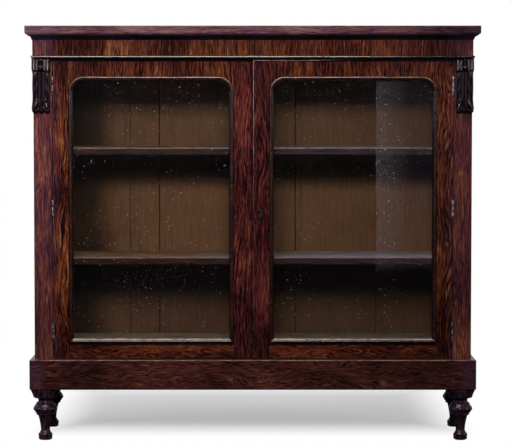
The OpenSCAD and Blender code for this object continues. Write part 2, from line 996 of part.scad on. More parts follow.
// The flat of a leaf, from the pin towards the back, on the door's side (-1) or the pilaster's side (1)
module leaf_flat(side, z0, z1, grow) {
    x_in = pin_x + side * hinge_gap / 2;
    x_out = x_in + side * (leaf_t + grow);
    block([min(x_in, x_out), face_y - grow, z0], [max(x_in, x_out), face_y + leaf_w + grow, z1]);
}

// One screw lying along X, its head flush with the leaf
module hinge_screw(side, grow) {
    x_in = pin_x + side * hinge_gap / 2;
    translate([x_in, face_y + leaf_w * 0.58, 0])
        rotate([0, side * 90, 0]) {
            translate([0, 0, grow > 0 ? -over : 0])
                cylinder(r = screw_head_r + grow, h = (grow > 0 ? over : 0) + leaf_t * 0.3);
            translate([0, 0, leaf_t * 0.3])
                cylinder(r1 = screw_head_r + grow, r2 = screw_r + grow, h = leaf_t * 0.7);
            translate([0, 0, leaf_t])
                cylinder(r = screw_r + grow, h = screw_l - leaf_t + grow);
        }
}

module hinge_screws(side, grow) {
    for (i = [-1, 0, 1])
        translate([0, 0, i * screw_pitch])
            hinge_screw(side, grow);
}

// The leaf on the pilaster's side: two outer knuckles
module frame_leaf() {
    difference() {
        union() {
            leaf_flat(1, -hinge_l / 2, hinge_l / 2, 0);
            on_pin(knuckle_r, -hinge_l / 2, -mid_knuckle / 2);
            on_pin(knuckle_r, mid_knuckle / 2, hinge_l / 2);
        }
        on_pin(pin_r + run, -hinge_l / 2 - over, hinge_l / 2 + over);
        on_pin(knuckle_r + knuckle_gap, -mid_knuckle / 2, mid_knuckle / 2);
        hinge_screws(1, fit);
    }
}

// The leaf on the door's side: one middle knuckle
module door_leaf() {
    half = mid_knuckle / 2 - knuckle_gap;
    difference() {
        union() {
            leaf_flat(-1, -hinge_l / 2, hinge_l / 2, 0);
            on_pin(knuckle_r, -half, half);
        }
        on_pin(pin_r + run, -hinge_l / 2 - over, hinge_l / 2 + over);
        on_pin(knuckle_r + knuckle_gap, half, hinge_l / 2 + over);
        on_pin(knuckle_r + knuckle_gap, -hinge_l / 2 - over, -half);
        hinge_screws(-1, fit);
    }
}

module hinge_pin() {
    on_pin(pin_r, -hinge_l / 2, hinge_l / 2);
}

// What the pilaster and the door's stile lose to a hinge
module hinge_cut(side) {
    leaf_flat(side, -hinge_l / 2 - fit, hinge_l / 2 + fit, fit);
    on_pin(knuckle_r + notch_gap, -hinge_l / 2 - notch_gap, hinge_l / 2 + notch_gap);
    hinge_screws(side, fit);
}

module frame_hinge_cut() {
    hinge_cut(1);
}

module door_hinge_cut() {
    hinge_cut(-1);
}

// Places its children at both hinges of one side: 0 for the right door, 1 for the left
module at_hinges(side) {
    mirror([side, 0, 0])
        for (z = hinge_zs)
            translate([0, 0, z])
                children();
}

module frame_hinge_leaves() {
    color(brass)
        for (s = [0, 1])
            at_hinges(s)
                frame_leaf();
}

module hinge_pins() {
    color(brass)
        for (s = [0, 1])
            at_hinges(s)
                hinge_pin();
}

module frame_hinge_screws() {
    color(brass)
        for (s = [0, 1])
            at_hinges(s)
                hinge_screws(1, 0);
}

module left_hinge_leaves() {
    color(brass)
        at_hinges(1)
            door_leaf();
}

module right_hinge_leaves() {
    color(brass)
        at_hinges(0)
            door_leaf();
}

module left_hinge_screws() {
    color(brass)
        at_hinges(1)
            hinge_screws(-1, 0);
}

module right_hinge_screws() {
    color(brass)
        at_hinges(0)
            hinge_screws(-1, 0);
}

// Sliding bolts in the left door's meeting edge

// A bolt that runs away from its tip; dir is 1 for the top bolt and -1 for the bottom one
module edge_bolt(tip, dir) {
    color(brass)
        translate([bolt_x, bolt_y, tip])
            mirror([0, 0, dir > 0 ? 1 : 0]) {
                cylinder(r = bolt_r, h = bolt_l);
                translate([0, 0, thumb_from_tip])
                    rotate([0, 90, 0])
                        cylinder(r = thumb_r, h = left_x1 - bolt_x - slide);
            }
}

module top_bolt() {
    edge_bolt(top_bolt_tip, 1);
}

module bottom_bolt() {
    edge_bolt(bottom_bolt_tip, -1);
}

// Plate over a bolt, with the slot that its thumb piece slides in
module bolt_plate(tip, dir) {
    translate([left_x1, bolt_y, tip])
        mirror([0, 0, dir > 0 ? 1 : 0])
            translate([-bolt_plate_t, 0, thumb_from_tip - bolt_throw / 2])
                difference() {
                    block([0, -bolt_plate_w / 2, -bolt_plate_l / 2],
                        [bolt_plate_t, bolt_plate_w / 2, bolt_plate_l / 2]);
                    block([-over, -thumb_slot, -bolt_throw / 2 - thumb_slot],
                        [bolt_plate_t + over, thumb_slot, bolt_throw / 2 + thumb_slot]);
                }
}

// What the stile loses to a bolt, its thumb piece and its plate
module bolt_cut(tip, dir) {
    translate([bolt_x, bolt_y, tip])
        mirror([0, 0, dir > 0 ? 1 : 0]) {
            translate([0, 0, -over - slide])
                cylinder(r = bolt_r + slide, h = bolt_l + over + 2 * slide);
            translate([0, 0, thumb_from_tip - bolt_throw / 2])
                block([0, -thumb_slot, -bolt_throw / 2 - thumb_slot],
                    [left_x1 - bolt_x, thumb_slot, bolt_throw / 2 + thumb_slot]);
            translate([left_x1 - bolt_x, 0, thumb_from_tip - bolt_throw / 2])
                block([-bolt_plate_t - fit, -bolt_plate_w / 2 - fit, -bolt_plate_l / 2 - fit],
                    [over, bolt_plate_w / 2 + fit, bolt_plate_l / 2 + fit]);
        }
}

// Pocket for the lock bolt in the left door's edge, and the plate round it
module strike_pocket(grow) {
    block([left_x1 - lock_throw - 2, bolt_y - lock_bolt_t / 2 - grow, lock_z - lock_bolt_h / 2 - grow],
        [left_x1 + over, bolt_y + lock_bolt_t / 2 + grow, lock_z + lock_bolt_h / 2 + grow]);
}

module strike_plate() {
    difference() {
        block([left_x1 - bolt_plate_t, bolt_y - strike_w / 2, lock_z - strike_h / 2],
            [left_x1, bolt_y + strike_w / 2, lock_z + strike_h / 2]);
        strike_pocket(slide);
    }
}

module strike_cut() {
    strike_pocket(slide);
    block([left_x1 - bolt_plate_t - fit, bolt_y - strike_w / 2 - fit, lock_z - strike_h / 2 - fit],
        [left_x1 + over, bolt_y + strike_w / 2 + fit, lock_z + strike_h / 2 + fit]);
}

module left_edge_plates() {
    color(brass) {
        bolt_plate(top_bolt_tip, 1);
        bolt_plate(bottom_bolt_tip, -1);
        strike_plate();
    }
}

// Keepers let into the rail above the doors and the rail below them
module keeper(z0, z1) {
    difference() {
        block([bolt_x - keeper_l / 2, bolt_y - bolt_plate_w / 2, z0],
            [bolt_x + keeper_l / 2, bolt_y + bolt_plate_w / 2, z1]);
        translate([bolt_x, bolt_y, z0 - over])
            cylinder(r = bolt_r + slide, h = z1 - z0 + 2 * over);
    }
}

module bolt_keepers() {
    color(brass) {
        keeper(bead_z, bead_z + bolt_plate_t);
        keeper(base_z - bolt_plate_t, base_z);
    }
}

module keeper_cut(z0, z1) {
    block([bolt_x - keeper_l / 2 - fit, bolt_y - bolt_plate_w / 2 - fit, z0],
        [bolt_x + keeper_l / 2 + fit, bolt_y + bolt_plate_w / 2 + fit, z1]);
}

module top_keeper_cut() {
    keeper_cut(bead_z - over, bead_z + bolt_plate_t);
    translate([bolt_x, bolt_y, bead_z - over])
        cylinder(r = bolt_r + slide, h = bolt_throw + over);
}

module bottom_keeper_cut() {
    keeper_cut(base_z - bolt_plate_t, base_z + over);
    translate([bolt_x, bolt_y, base_z - bolt_throw])
        cylinder(r = bolt_r + slide, h = bolt_throw + over);
}

// Lock

// Keyhole between two depths: a round top and a narrow slot below
module keyhole(y0, y1) {
    upright(y0, y1) {
        translate([key_x, lock_z])
            circle(r = key_r);
        translate([key_x - key_slot_w / 2, lock_z - key_slot_l])
            square([key_slot_w, key_slot_l]);
    }
}

// The bolt slides at the middle of the lock, above the keyhole's slot
module lock_bolt() {
    color(brass)
        block([right_x0 + slide, bolt_y - lock_bolt_t / 2, lock_z - lock_bolt_h / 2],
            [right_x0 + keyhole_x - key_r - 5, bolt_y + lock_bolt_t / 2, lock_z + lock_bolt_h / 2]);
}

module lock_case() {
    half_t = lock_bolt_t / 2 + slide;
    half_h = lock_bolt_h / 2 + slide;
    color(iron)
        difference() {
            block([right_x0, lock_y0, lock_z - lock_h / 2], [lock_x1, lock_y0 + lock_t, lock_z + lock_h / 2]);
            block([right_x0 - over, bolt_y - half_t, lock_z - half_h],
                [right_x0 + lock_wall + over, bolt_y + half_t, lock_z + half_h]);
            block([right_x0 + lock_wall, bolt_y - half_t, lock_z - half_h],
                [lock_x1 - lock_wall, bolt_y + half_t, lock_z + half_h]);
            keyhole(lock_y0 - over, bolt_y);
        }
}

// The brass plate round the keyhole, let into the stile
module escutcheon_plate(grow) {
    middle = lock_z - key_slot_l / 3;
    reach = (escutcheon_h - escutcheon_w) / 2;
    upright(face_y - escutcheon_proud, face_y - escutcheon_proud + escutcheon_t + grow) {
        for (s = [-1, 1])
            translate([key_x, middle + s * reach])
                circle(r = escutcheon_w / 2 + grow);
        translate([key_x - escutcheon_w / 2 - grow, middle - reach])
            square([escutcheon_w + 2 * grow, 2 * reach]);
    }
}

module escutcheon() {
    color(brass)
        difference() {
            escutcheon_plate(0);
            keyhole(face_y - over, lock_y0);
        }
}

top_board();
top_moulding_front();
top_moulding_returns();
frieze_front();
frieze_bead();
head_rail();
door_stop_strip();
left_end_panel();
right_end_panel();
left_pilaster();
right_pilaster();
left_corbel();
right_corbel();
inner_top_panel();
bottom_board();
bottom_front_rail();
upper_shelf();
lower_shelf();
shelf_bearers();
back_boards();
back_nails();
plinth_front();
plinth_left();
plinth_right();
plinth_back();
plinth_top_rail();
foot_blocks();
front_left_foot();
front_right_foot();
rear_left_foot();
rear_right_foot();
frame_hinge_leaves();
hinge_pins();
frame_hinge_screws();
bolt_keepers();
left_hinge_stile();
left_meeting_stile();
left_top_rail();
left_bottom_rail();
left_sight_moulding();
left_glass();
left_glazing_beads();
left_hinge_leaves();
left_hinge_screws();
left_edge_plates();
top_bolt();
bottom_bolt();
right_hinge_stile();
right_meeting_stile();
right_top_rail();
right_bottom_rail();
right_sight_moulding();
right_glass();
right_glazing_beads();
right_hinge_leaves();
right_hinge_screws();
meeting_bead();
escutcheon();
lock_case();
lock_bolt();
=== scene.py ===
"""A glazed display cabinet: the finish of its wood, glass and brass, its carving, turning and mouldings.

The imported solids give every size. The pieces made here stand for the ones whose carving, reeding or profile a
plain solid leaves out, and every other solid keeps its shape and gets its finish.
"""

import sys
import logging
import math
from collections.abc import Callable, Sequence
from dataclasses import dataclass
from enum import Enum
from functools import partial

import bmesh
import bpy
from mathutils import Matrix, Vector


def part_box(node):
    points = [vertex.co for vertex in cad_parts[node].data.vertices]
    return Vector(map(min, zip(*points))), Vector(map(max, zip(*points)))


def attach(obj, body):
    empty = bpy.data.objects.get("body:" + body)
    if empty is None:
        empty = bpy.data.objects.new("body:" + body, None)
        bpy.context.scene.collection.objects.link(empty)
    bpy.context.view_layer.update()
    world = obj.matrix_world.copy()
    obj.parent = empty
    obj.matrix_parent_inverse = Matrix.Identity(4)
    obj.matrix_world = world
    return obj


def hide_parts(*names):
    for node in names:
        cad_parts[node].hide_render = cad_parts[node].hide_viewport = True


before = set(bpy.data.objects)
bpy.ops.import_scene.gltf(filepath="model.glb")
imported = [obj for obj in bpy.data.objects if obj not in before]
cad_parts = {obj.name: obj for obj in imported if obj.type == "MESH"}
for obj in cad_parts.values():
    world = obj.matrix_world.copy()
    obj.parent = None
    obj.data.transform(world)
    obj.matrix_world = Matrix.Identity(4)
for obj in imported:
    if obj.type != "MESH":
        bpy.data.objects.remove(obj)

log = logging.getLogger("cabinet")
NODES: dict[str, bpy.types.Object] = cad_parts
MM = 0.001
SIDES = ("left", "right")
FEET = ("front_left", "front_right", "rear_left", "rear_right")
Point = tuple[float, float]
Place = tuple[float, float, float]
Colour = tuple[float, float, float, float]
Tree = bpy.types.NodeTree
Node = bpy.types.Node
Material = bpy.types.Material
Mesh = bmesh.types.BMesh
Piece = bpy.types.Object
Adder = Callable[..., Node]


# Colour, nodes and meshes


def linear(hex_colour: str) -> Colour:
    """Turns an sRGB colour into linear light.

    Args:
        hex_colour: The colour as #rrggbb.

    Returns:
        Red, green and blue as linear numbers, and 1 for alpha.
    """
    channels = [int(hex_colour[i : i + 2], 16) / 255 for i in (1, 3, 5)]
    red, green, blue = (c / 12.92 if c <= 0.04045 else ((c + 0.055) / 1.055) ** 2.4 for c in channels)
    return (red, green, blue, 1.0)


def put(tree: Tree, kind: str, links: dict | None = None, **settings: object) -> Node:
    """Adds one node with its settings and links.

    Args:
        tree: The node tree that gets it.
        kind: The node's type, without the words ShaderNode.
        links: Input name or number to a value, a socket, or a node, which stands for its first output in use.
        settings: Attributes of the node; stops are a ramp's (place, hex colour) pairs, and span is what a
            range starts from, its low and high end, and then what it gives, where that isn't 0 to 1.

    Returns:
        The new node.
    """
    node = tree.nodes.new("ShaderNode" + kind)
    stops, span = settings.pop("stops", ()), settings.pop("span", ())
    for key, number in zip(("From Min", "From Max", "To Min", "To Max"), span):
        node.inputs[key].default_value = number
    for name, value in settings.items():
        setattr(node, name, value)
    for i, (place, colour) in enumerate(stops):
        stop = node.color_ramp.elements[i] if i < 2 else node.color_ramp.elements.new(place)
        stop.position = place
        stop.color = linear(colour)
    for key, value in (links or {}).items():
        if isinstance(value, Node):
            value = next(socket for socket in value.outputs if socket.enabled)
        if isinstance(value, bpy.types.NodeSocket):
            tree.links.new(value, node.inputs[key])
        else:
            node.inputs[key].default_value = value
    return node


def blank(name: str) -> tuple[Material, Adder]:
    """Makes a material without nodes.

    Args:
        name: The material's name.

    Returns:
        The material, and put for its own tree.
    """
    material = bpy.data.materials.new(name)
    material.use_nodes = True
    material.node_tree.nodes.clear()
    return material, partial(put, material.node_tree)


def new_object(name: str, data: bpy.types.ID) -> Piece:
    """Puts a new object in the scene.

    Args:
        name: Its name.
        data: Its mesh, lamp or camera.

    Returns:
        The object.
    """
    made = bpy.data.objects.new(name, data)
    bpy.context.scene.collection.objects.link(made)
    return made


def new_piece(name: str, mesh: Mesh, body: str, *materials: Material) -> Piece:
    """Turns a mesh into a smooth-shaded piece that rides on a body.

    Args:
        name: The piece's name.
        mesh: Its mesh, in metres in the cabinet's frame; it is used up.
        body: The body that it moves with.
        materials: Its finishes, the main one first.

    Returns:
        The new object.
    """
    bmesh.ops.recalc_face_normals(mesh, faces=mesh.faces)
    data = bpy.data.meshes.new(name)
    mesh.to_mesh(data)
    mesh.free()
    for material in materials:
        data.materials.append(material)
    data.shade_smooth()
    piece = new_object(name, data)
    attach(piece, body)
    log.info("%s: %d faces, rides on %s", name, len(data.polygons), body)
    return piece


class Ends(Enum):
    """How a stack of rings ends: with a face at each end, open, or joined to the first ring again."""

    CAPPED = "capped"
    OPEN = "open"
    JOINED = "joined"


def rings_to_mesh(rings: Sequence[Sequence[Vector]], ends: Ends = Ends.CAPPED) -> Mesh:
    """Joins closed rings of points, each with the next, by four-sided faces.

    Args:
        rings: Rings of points with the same count.
        ends: How the stack ends.

    Returns:
        The mesh; its faces can be looked up by number, ring after ring and then the ends.
    """
    mesh = bmesh.new()
    rows = [[mesh.verts.new(p) for p in ring] for ring in rings]
    pairs = list(zip(rows, rows[1:]))
    if ends is Ends.JOINED:
        pairs.append((rows[-1], rows[0]))
    for low, high in pairs:
        for i in range(len(low)):
            j = (i + 1) % len(low)
            mesh.faces.new((low[i], low[j], high[j], high[i]))
    if ends is Ends.CAPPED:
        mesh.faces.new(rows[0])
        mesh.faces.new(rows[-1])
    mesh.verts.ensure_lookup_table()
    mesh.faces.ensure_lookup_table()
    return mesh


def per_metre(size_mm: float) -> float:
    """Returns how many patterns of a size fill a metre, which is a texture's scale."""
    return 1.0 / (size_mm * MM)


def smoothstep(low: float, high: float, x: float) -> float:
    """Returns 0 below low, 1 above high, and a smooth climb between."""
    t = min(1.0, max(0.0, (x - low) / (high - low)))
    return t * t * (3.0 - 2.0 * t)


# Finishes


class Grain(Enum):
    """The way the grain of a board runs: the share that its pattern is squeezed to along each axis."""

    ACROSS = (0.11, 1.0, 1.0)
    DEEP = (1.0, 0.11, 1.0)
    UPRIGHT = (1.0, 1.0, 0.11)

    def squeezed(self, share: float) -> Place:
        """Scales along the axes that leave only a share of the grain's own."""
        return tuple(share if s < 1.0 else 1.0 for s in self.value)

    def across(self) -> Place:
        """A direction across the grain that slants over every face."""
        return tuple(0.0 if s < 1.0 else w for s, w in zip(self.value, (1.0, 0.8, 0.9)))


@dataclass(frozen=True)
class Rosewood:
    """Brazilian rosewood veneer, scraped and french polished.

    The eye sees near-black ink lines that follow the growth rings, streaks from purple-black to a warm
    orange brown, darker clouds a hand wide, and short open pores, all under a thin, worn, clear gloss.
    """

    name: str
    grain: Grain
    seed: float
    dark: str = "#190706"
    ground: str = "#3a1510"
    warm: str = "#68361f"
    light: str = "#975f38"
    yellower: Colour = (1.12, 1.5, 0.95, 1.0)
    painted_reflection_tint: str = "#7a70b8"
    painted_shadow_tint: str = "#080405"
    # Sizes of the patterns; those that are a share of 1000 fit a whole number of times in a metre.
    streak_mm: float = 9.0
    ring_mm: float = 17.0
    broken_mm: float = 1000.0 / 34.0
    wear_mm: float = 1000.0 / 22.0
    golden_mm: float = 1000.0 / 21.0
    swirl_mm: float = 1000.0 / 14.0
    drift_mm: float = 1000.0 / 9.0
    # How strong each part of the figure is, and how far the rings wander.
    wander: float = 1.3
    ink: float = 0.8
    lines: float = 0.5
    line_depth: float = 0.24
    clouds: float = 0.5
    golden: float = 0.36
    roughness: float = 0.08
    # Painted shadow darkens the wood above a height, and a painted bluish reflection tints it past a distance
    # from the middle.
    painted_shadow_from_mm: float = 5000.0
    painted_shadow_fade_mm: float = 4.0
    painted_reflection: float = 0.03
    painted_reflection_from_mm: float = 515.0
    painted_reflection_fade_mm: float = 35.0
    # Faces that look up are duller, and painted shade darkens the colour between two places along X.
    dulled_above: float = 0.0
    painted_shade_along_mm: Point = (4000.0, 5000.0)
    shaded: float = 0.42

    def figure(self, add: Adder, where: Node) -> Node:
        """Mixes clouds, streaks and hairlines into one height.

        Args:
            add: Adds a node to the material.
            where: The place in the board's own metres.

        Returns:
            The height, about a half on the mean.
        """
        clouds = (85.0, 0.4, 2.0, 0.5, self.clouds)
        streaks = (self.streak_mm, 0.12, 3.0, 0.6, 0.44)
        hairlines = (4.2, 0.08, 2.0, 0.6, 0.5)
        pores = (2.4, 0.12, 1.0, 0.5, 0.42)
        total = None
        for width_mm, share, detail, rough, weight in (clouds, streaks, hairlines, pores):
            stretched = add("Mapping", {"Vector": where, "Scale": self.grain.squeezed(share)})
            noise = add(
                "TexNoise",
                {"Vector": stretched, "Scale": per_metre(width_mm), "Detail": detail, "Roughness": rough},
            )
            centred = add("Math", {0: noise, 1: 0.5}, operation="SUBTRACT")
            total = add("Math", {0: centred, 1: weight, 2: total or 0.5}, operation="MULTIPLY_ADD")
        return total

    def rings(self, add: Adder, where: Node) -> Node:
        """Draws the growth rings: sparse ink lines, and finer soft lines that run beside them.

        Args:
            add: Adds a node to the material.
            where: The place in the board's own metres.

        Returns:
            How dark the wood is there, about 0 between the lines.
        """
        loose = add("Mapping", {"Vector": where, "Scale": self.grain.squeezed(0.22)})
        drift = add(
            "TexNoise", {"Vector": loose, "Scale": per_metre(self.drift_mm), "Detail": 3.0, "Roughness": 0.45}
        )
        lean = add(
            "VectorMath", {0: where, 1: tuple(a / (self.ring_mm * MM) for a in self.grain.across())},
            operation="DOT_PRODUCT",
        )
        phase = add("Math", {0: drift, 1: self.wander * 5.0, 2: lean}, operation="MULTIPLY_ADD")
        fold = add("Math", {0: phase, 1: 0.5}, operation="PINGPONG")
        finer = add("Math", {0: phase, 1: 2.3}, operation="MULTIPLY")
        fine = add("Math", {0: finer, 1: 0.5}, operation="PINGPONG")
        line = add("MapRange", {0: fold}, span=(0.0, 0.13, 1.0, 0.0), interpolation_type="SMOOTHSTEP")
        short = add("Mapping", {"Vector": where, "Scale": self.grain.squeezed(0.3)})
        come = add("TexNoise", {"Vector": short, "Scale": per_metre(self.broken_mm), "Detail": 2.0})
        shown = add("MapRange", {0: come}, span=(0.42, 0.6, 0.0, self.ink))
        ink = add("Math", {0: line, 1: shown}, operation="MULTIPLY")
        soft = add("MapRange", {0: fine}, span=(0.0, 0.5, self.lines, -self.lines))
        return add("Math", {0: soft, 1: come, 2: ink}, operation="MULTIPLY_ADD")

    def material(self) -> Material:
        """Returns the material, with its figure in the cabinet's own millimetres."""
        material, add = blank(self.name)
        where = add("TexCoord").outputs["Object"]
        shifted = add("Mapping", {"Vector": where, "Location": (self.seed, self.seed * 1.7, self.seed * 0.6)})
        # The figure, bent by a slow swirl
        flow = add("Mapping", {"Vector": shifted, "Scale": self.grain.squeezed(0.3)})
        drift = add("TexNoise", {"Vector": flow, "Scale": per_metre(self.swirl_mm), "Detail": 2.0})
        centred = add("VectorMath", {0: drift.outputs[1], 1: (0.5, 0.5, 0.5)}, operation="SUBTRACT")
        swirl = add("VectorMath", {0: centred, "Scale": self.wander * 0.03}, operation="SCALE")
        bent = add("VectorMath", {0: shifted, 1: swirl}, operation="ADD")
        height = self.figure(add, bent)
        inked = self.rings(add, bent)
        lower = add("Math", {0: inked, 1: -self.line_depth, 2: height}, operation="MULTIPLY_ADD")
        tone = add(
            "ValToRGB", {"Fac": lower},
            stops=((0.34, self.dark), (0.46, self.ground), (0.6, self.warm), (0.76, self.light)),
        )
        # Golden patches
        wide = add("Mapping", {"Vector": shifted, "Scale": self.grain.squeezed(0.4)})
        patch = add(
            "TexNoise", {"Vector": wide, "Scale": per_metre(self.golden_mm), "Detail": 3.0, "Roughness": 0.6}
        )
        gold = add("MapRange", {0: patch}, span=(0.47, 0.66, 0.0, self.golden))
        ochre = add("Mix", {0: 1.0, 6: tone, 7: self.yellower}, data_type="RGBA", blend_type="MULTIPLY")
        tinted = add("Mix", {0: gold, 6: tone, 7: ochre}, data_type="RGBA")
        # Painted shadow under what stands out above, and painted bluish reflection toward the ends
        side = add("SeparateXYZ", {0: where})
        low, high = self.painted_shadow_from_mm * MM, (self.painted_shadow_from_mm + self.painted_shadow_fade_mm) * MM
        painted_shadow = add("MapRange", {0: side.outputs[2]}, span=(low, high, 0.0, 0.9))
        # Painted bluish reflection, stronger past a distance from the middle
        reach = add("Math", {0: side.outputs[0]}, operation="ABSOLUTE")
        near, far = self.painted_reflection_from_mm * MM, (self.painted_reflection_from_mm + self.painted_reflection_fade_mm) * MM
        painted_reflection = add(
            "MapRange", {0: reach}, span=(near, far, 0.0, self.painted_reflection), interpolation_type="SMOOTHSTEP"
        )
        reflection_tinted = add("Mix", {0: painted_reflection, 6: tinted, 7: linear(self.painted_reflection_tint)}, data_type="RGBA")
        colour = add("Mix", {0: painted_shadow, 6: reflection_tinted, 7: linear(self.painted_shadow_tint)}, data_type="RGBA")
        # Polish
        wear = add("TexNoise", {"Vector": shifted, "Scale": per_metre(self.wear_mm), "Detail": 4.0})
        least, most = self.roughness - 0.02, self.roughness + 0.03
        rough = add("MapRange", {0: wear}, span=(0.3, 0.7, least, most))
        facing = add("SeparateXYZ", {0: add("TexCoord").outputs["Normal"]})
        flat = add("Math", {0: facing.outputs[2], 1: 0.9}, operation="GREATER_THAN")
        dulled = add("Math", {0: flat, 1: self.dulled_above, 2: rough}, operation="MULTIPLY_ADD")
        bump = add("Bump", {"Height": height, "Strength": 0.08, "Distance": 0.0003})
        # Painted shade along X
        start, end = (x * MM for x in self.painted_shade_along_mm)
        kept = add(
            "MapRange", {0: side.outputs[0]},
            span=(start, end, 1.0, self.shaded), interpolation_type="SMOOTHSTEP",
        )
        shown = add("VectorMath", {0: colour, "Scale": kept}, operation="SCALE")
        polish = {"Base Color": shown, "Roughness": dulled, "Normal": bump, "IOR": 1.5}
        add("OutputMaterial", {"Surface": add("BsdfPrincipled", polish)})
        return material


@dataclass(frozen=True)
class WornEdgeHighlight:
    """A rubbed arris, where duster and hand have taken the polish and the stain off the paler wood in patches.

    Its pale colour is also a painted highlight, strongest where the edge looks up, as if lit from above: the
    eye sees a thin pale line along an edge that looks up, and hardly any on the others.
    """

    name: str = "rosewood_worn_edge_painted_highlight"
    bare: str = "#a58376"
    kept: str = "#26110e"
    roughness: float = 0.35
    polished: float = 0.08
    patch_mm: float = 1000.0 / 30.0
    least_up: float = 0.1

    def material(self) -> Material:
        """Returns the material; the painted highlight follows how far the edge looks up, and the wear breaks it
        into patches.
        """
        material, add = blank(self.name)
        where = add("TexCoord").outputs["Object"]
        patches = add(
            "TexNoise", {"Vector": where, "Scale": per_metre(self.patch_mm), "Detail": 5.0, "Roughness": 0.7}
        )
        facing = add("SeparateXYZ", {0: add("TexCoord").outputs["Normal"]})
        faces_up_highlight = add("MapRange", {0: facing.outputs[2]}, span=(self.least_up, self.least_up + 0.45))
        thin = add("MapRange", {0: patches}, span=(0.34, 0.56, 0.25, 1.0))
        bare = add("Math", {0: faces_up_highlight, 1: thin}, operation="MULTIPLY")
        colour = add("Mix", {0: bare, 6: linear(self.kept), 7: linear(self.bare)}, data_type="RGBA")
        rough = add("MapRange", {0: bare}, span=(0.0, 1.0, self.polished, self.roughness))
        shader = add("BsdfPrincipled", {"Base Color": colour, "Roughness": rough})
        add("OutputMaterial", {"Surface": shader})
        return material


@dataclass(frozen=True)
class CarvedRosewood:
    """Solid rosewood, carved or turned, stained nearly black and waxed.

    The eye sees an even purple-black that shines on the crests and keeps dust and old wax in the hollows.
    """

    name: str
    crest: str = "#160a12"
    hollow: str = "#060305"
    roughness: float = 0.12
    wax: str = "#ecd6e2"
    grain_mm: float = 6.25
    rubbed_mm: float = 1000.0 / 60.0

    def material(self) -> Material:
        """Returns the material; the old wax tints what it reflects."""
        material, add = blank(self.name)
        where = add("TexCoord").outputs["Object"]
        along = add("Mapping", {"Vector": where, "Scale": Grain.UPRIGHT.value})
        grain = add("TexNoise", {"Vector": along, "Scale": per_metre(self.grain_mm), "Detail": 4.0})
        colour = add("ValToRGB", {"Fac": grain}, stops=((0.36, self.hollow), (0.6, self.crest)))
        rubbed = add("TexNoise", {"Vector": where, "Scale": per_metre(self.rubbed_mm), "Detail": 3.0})
        least, most = self.roughness - 0.04, self.roughness + 0.03
        rough = add("MapRange", {0: rubbed}, span=(0.3, 0.7, least, most))
        waxed = {"Base Color": colour, "Roughness": rough, "Specular Tint": linear(self.wax)}
        add("OutputMaterial", {"Surface": add("BsdfPrincipled", waxed)})
        return material


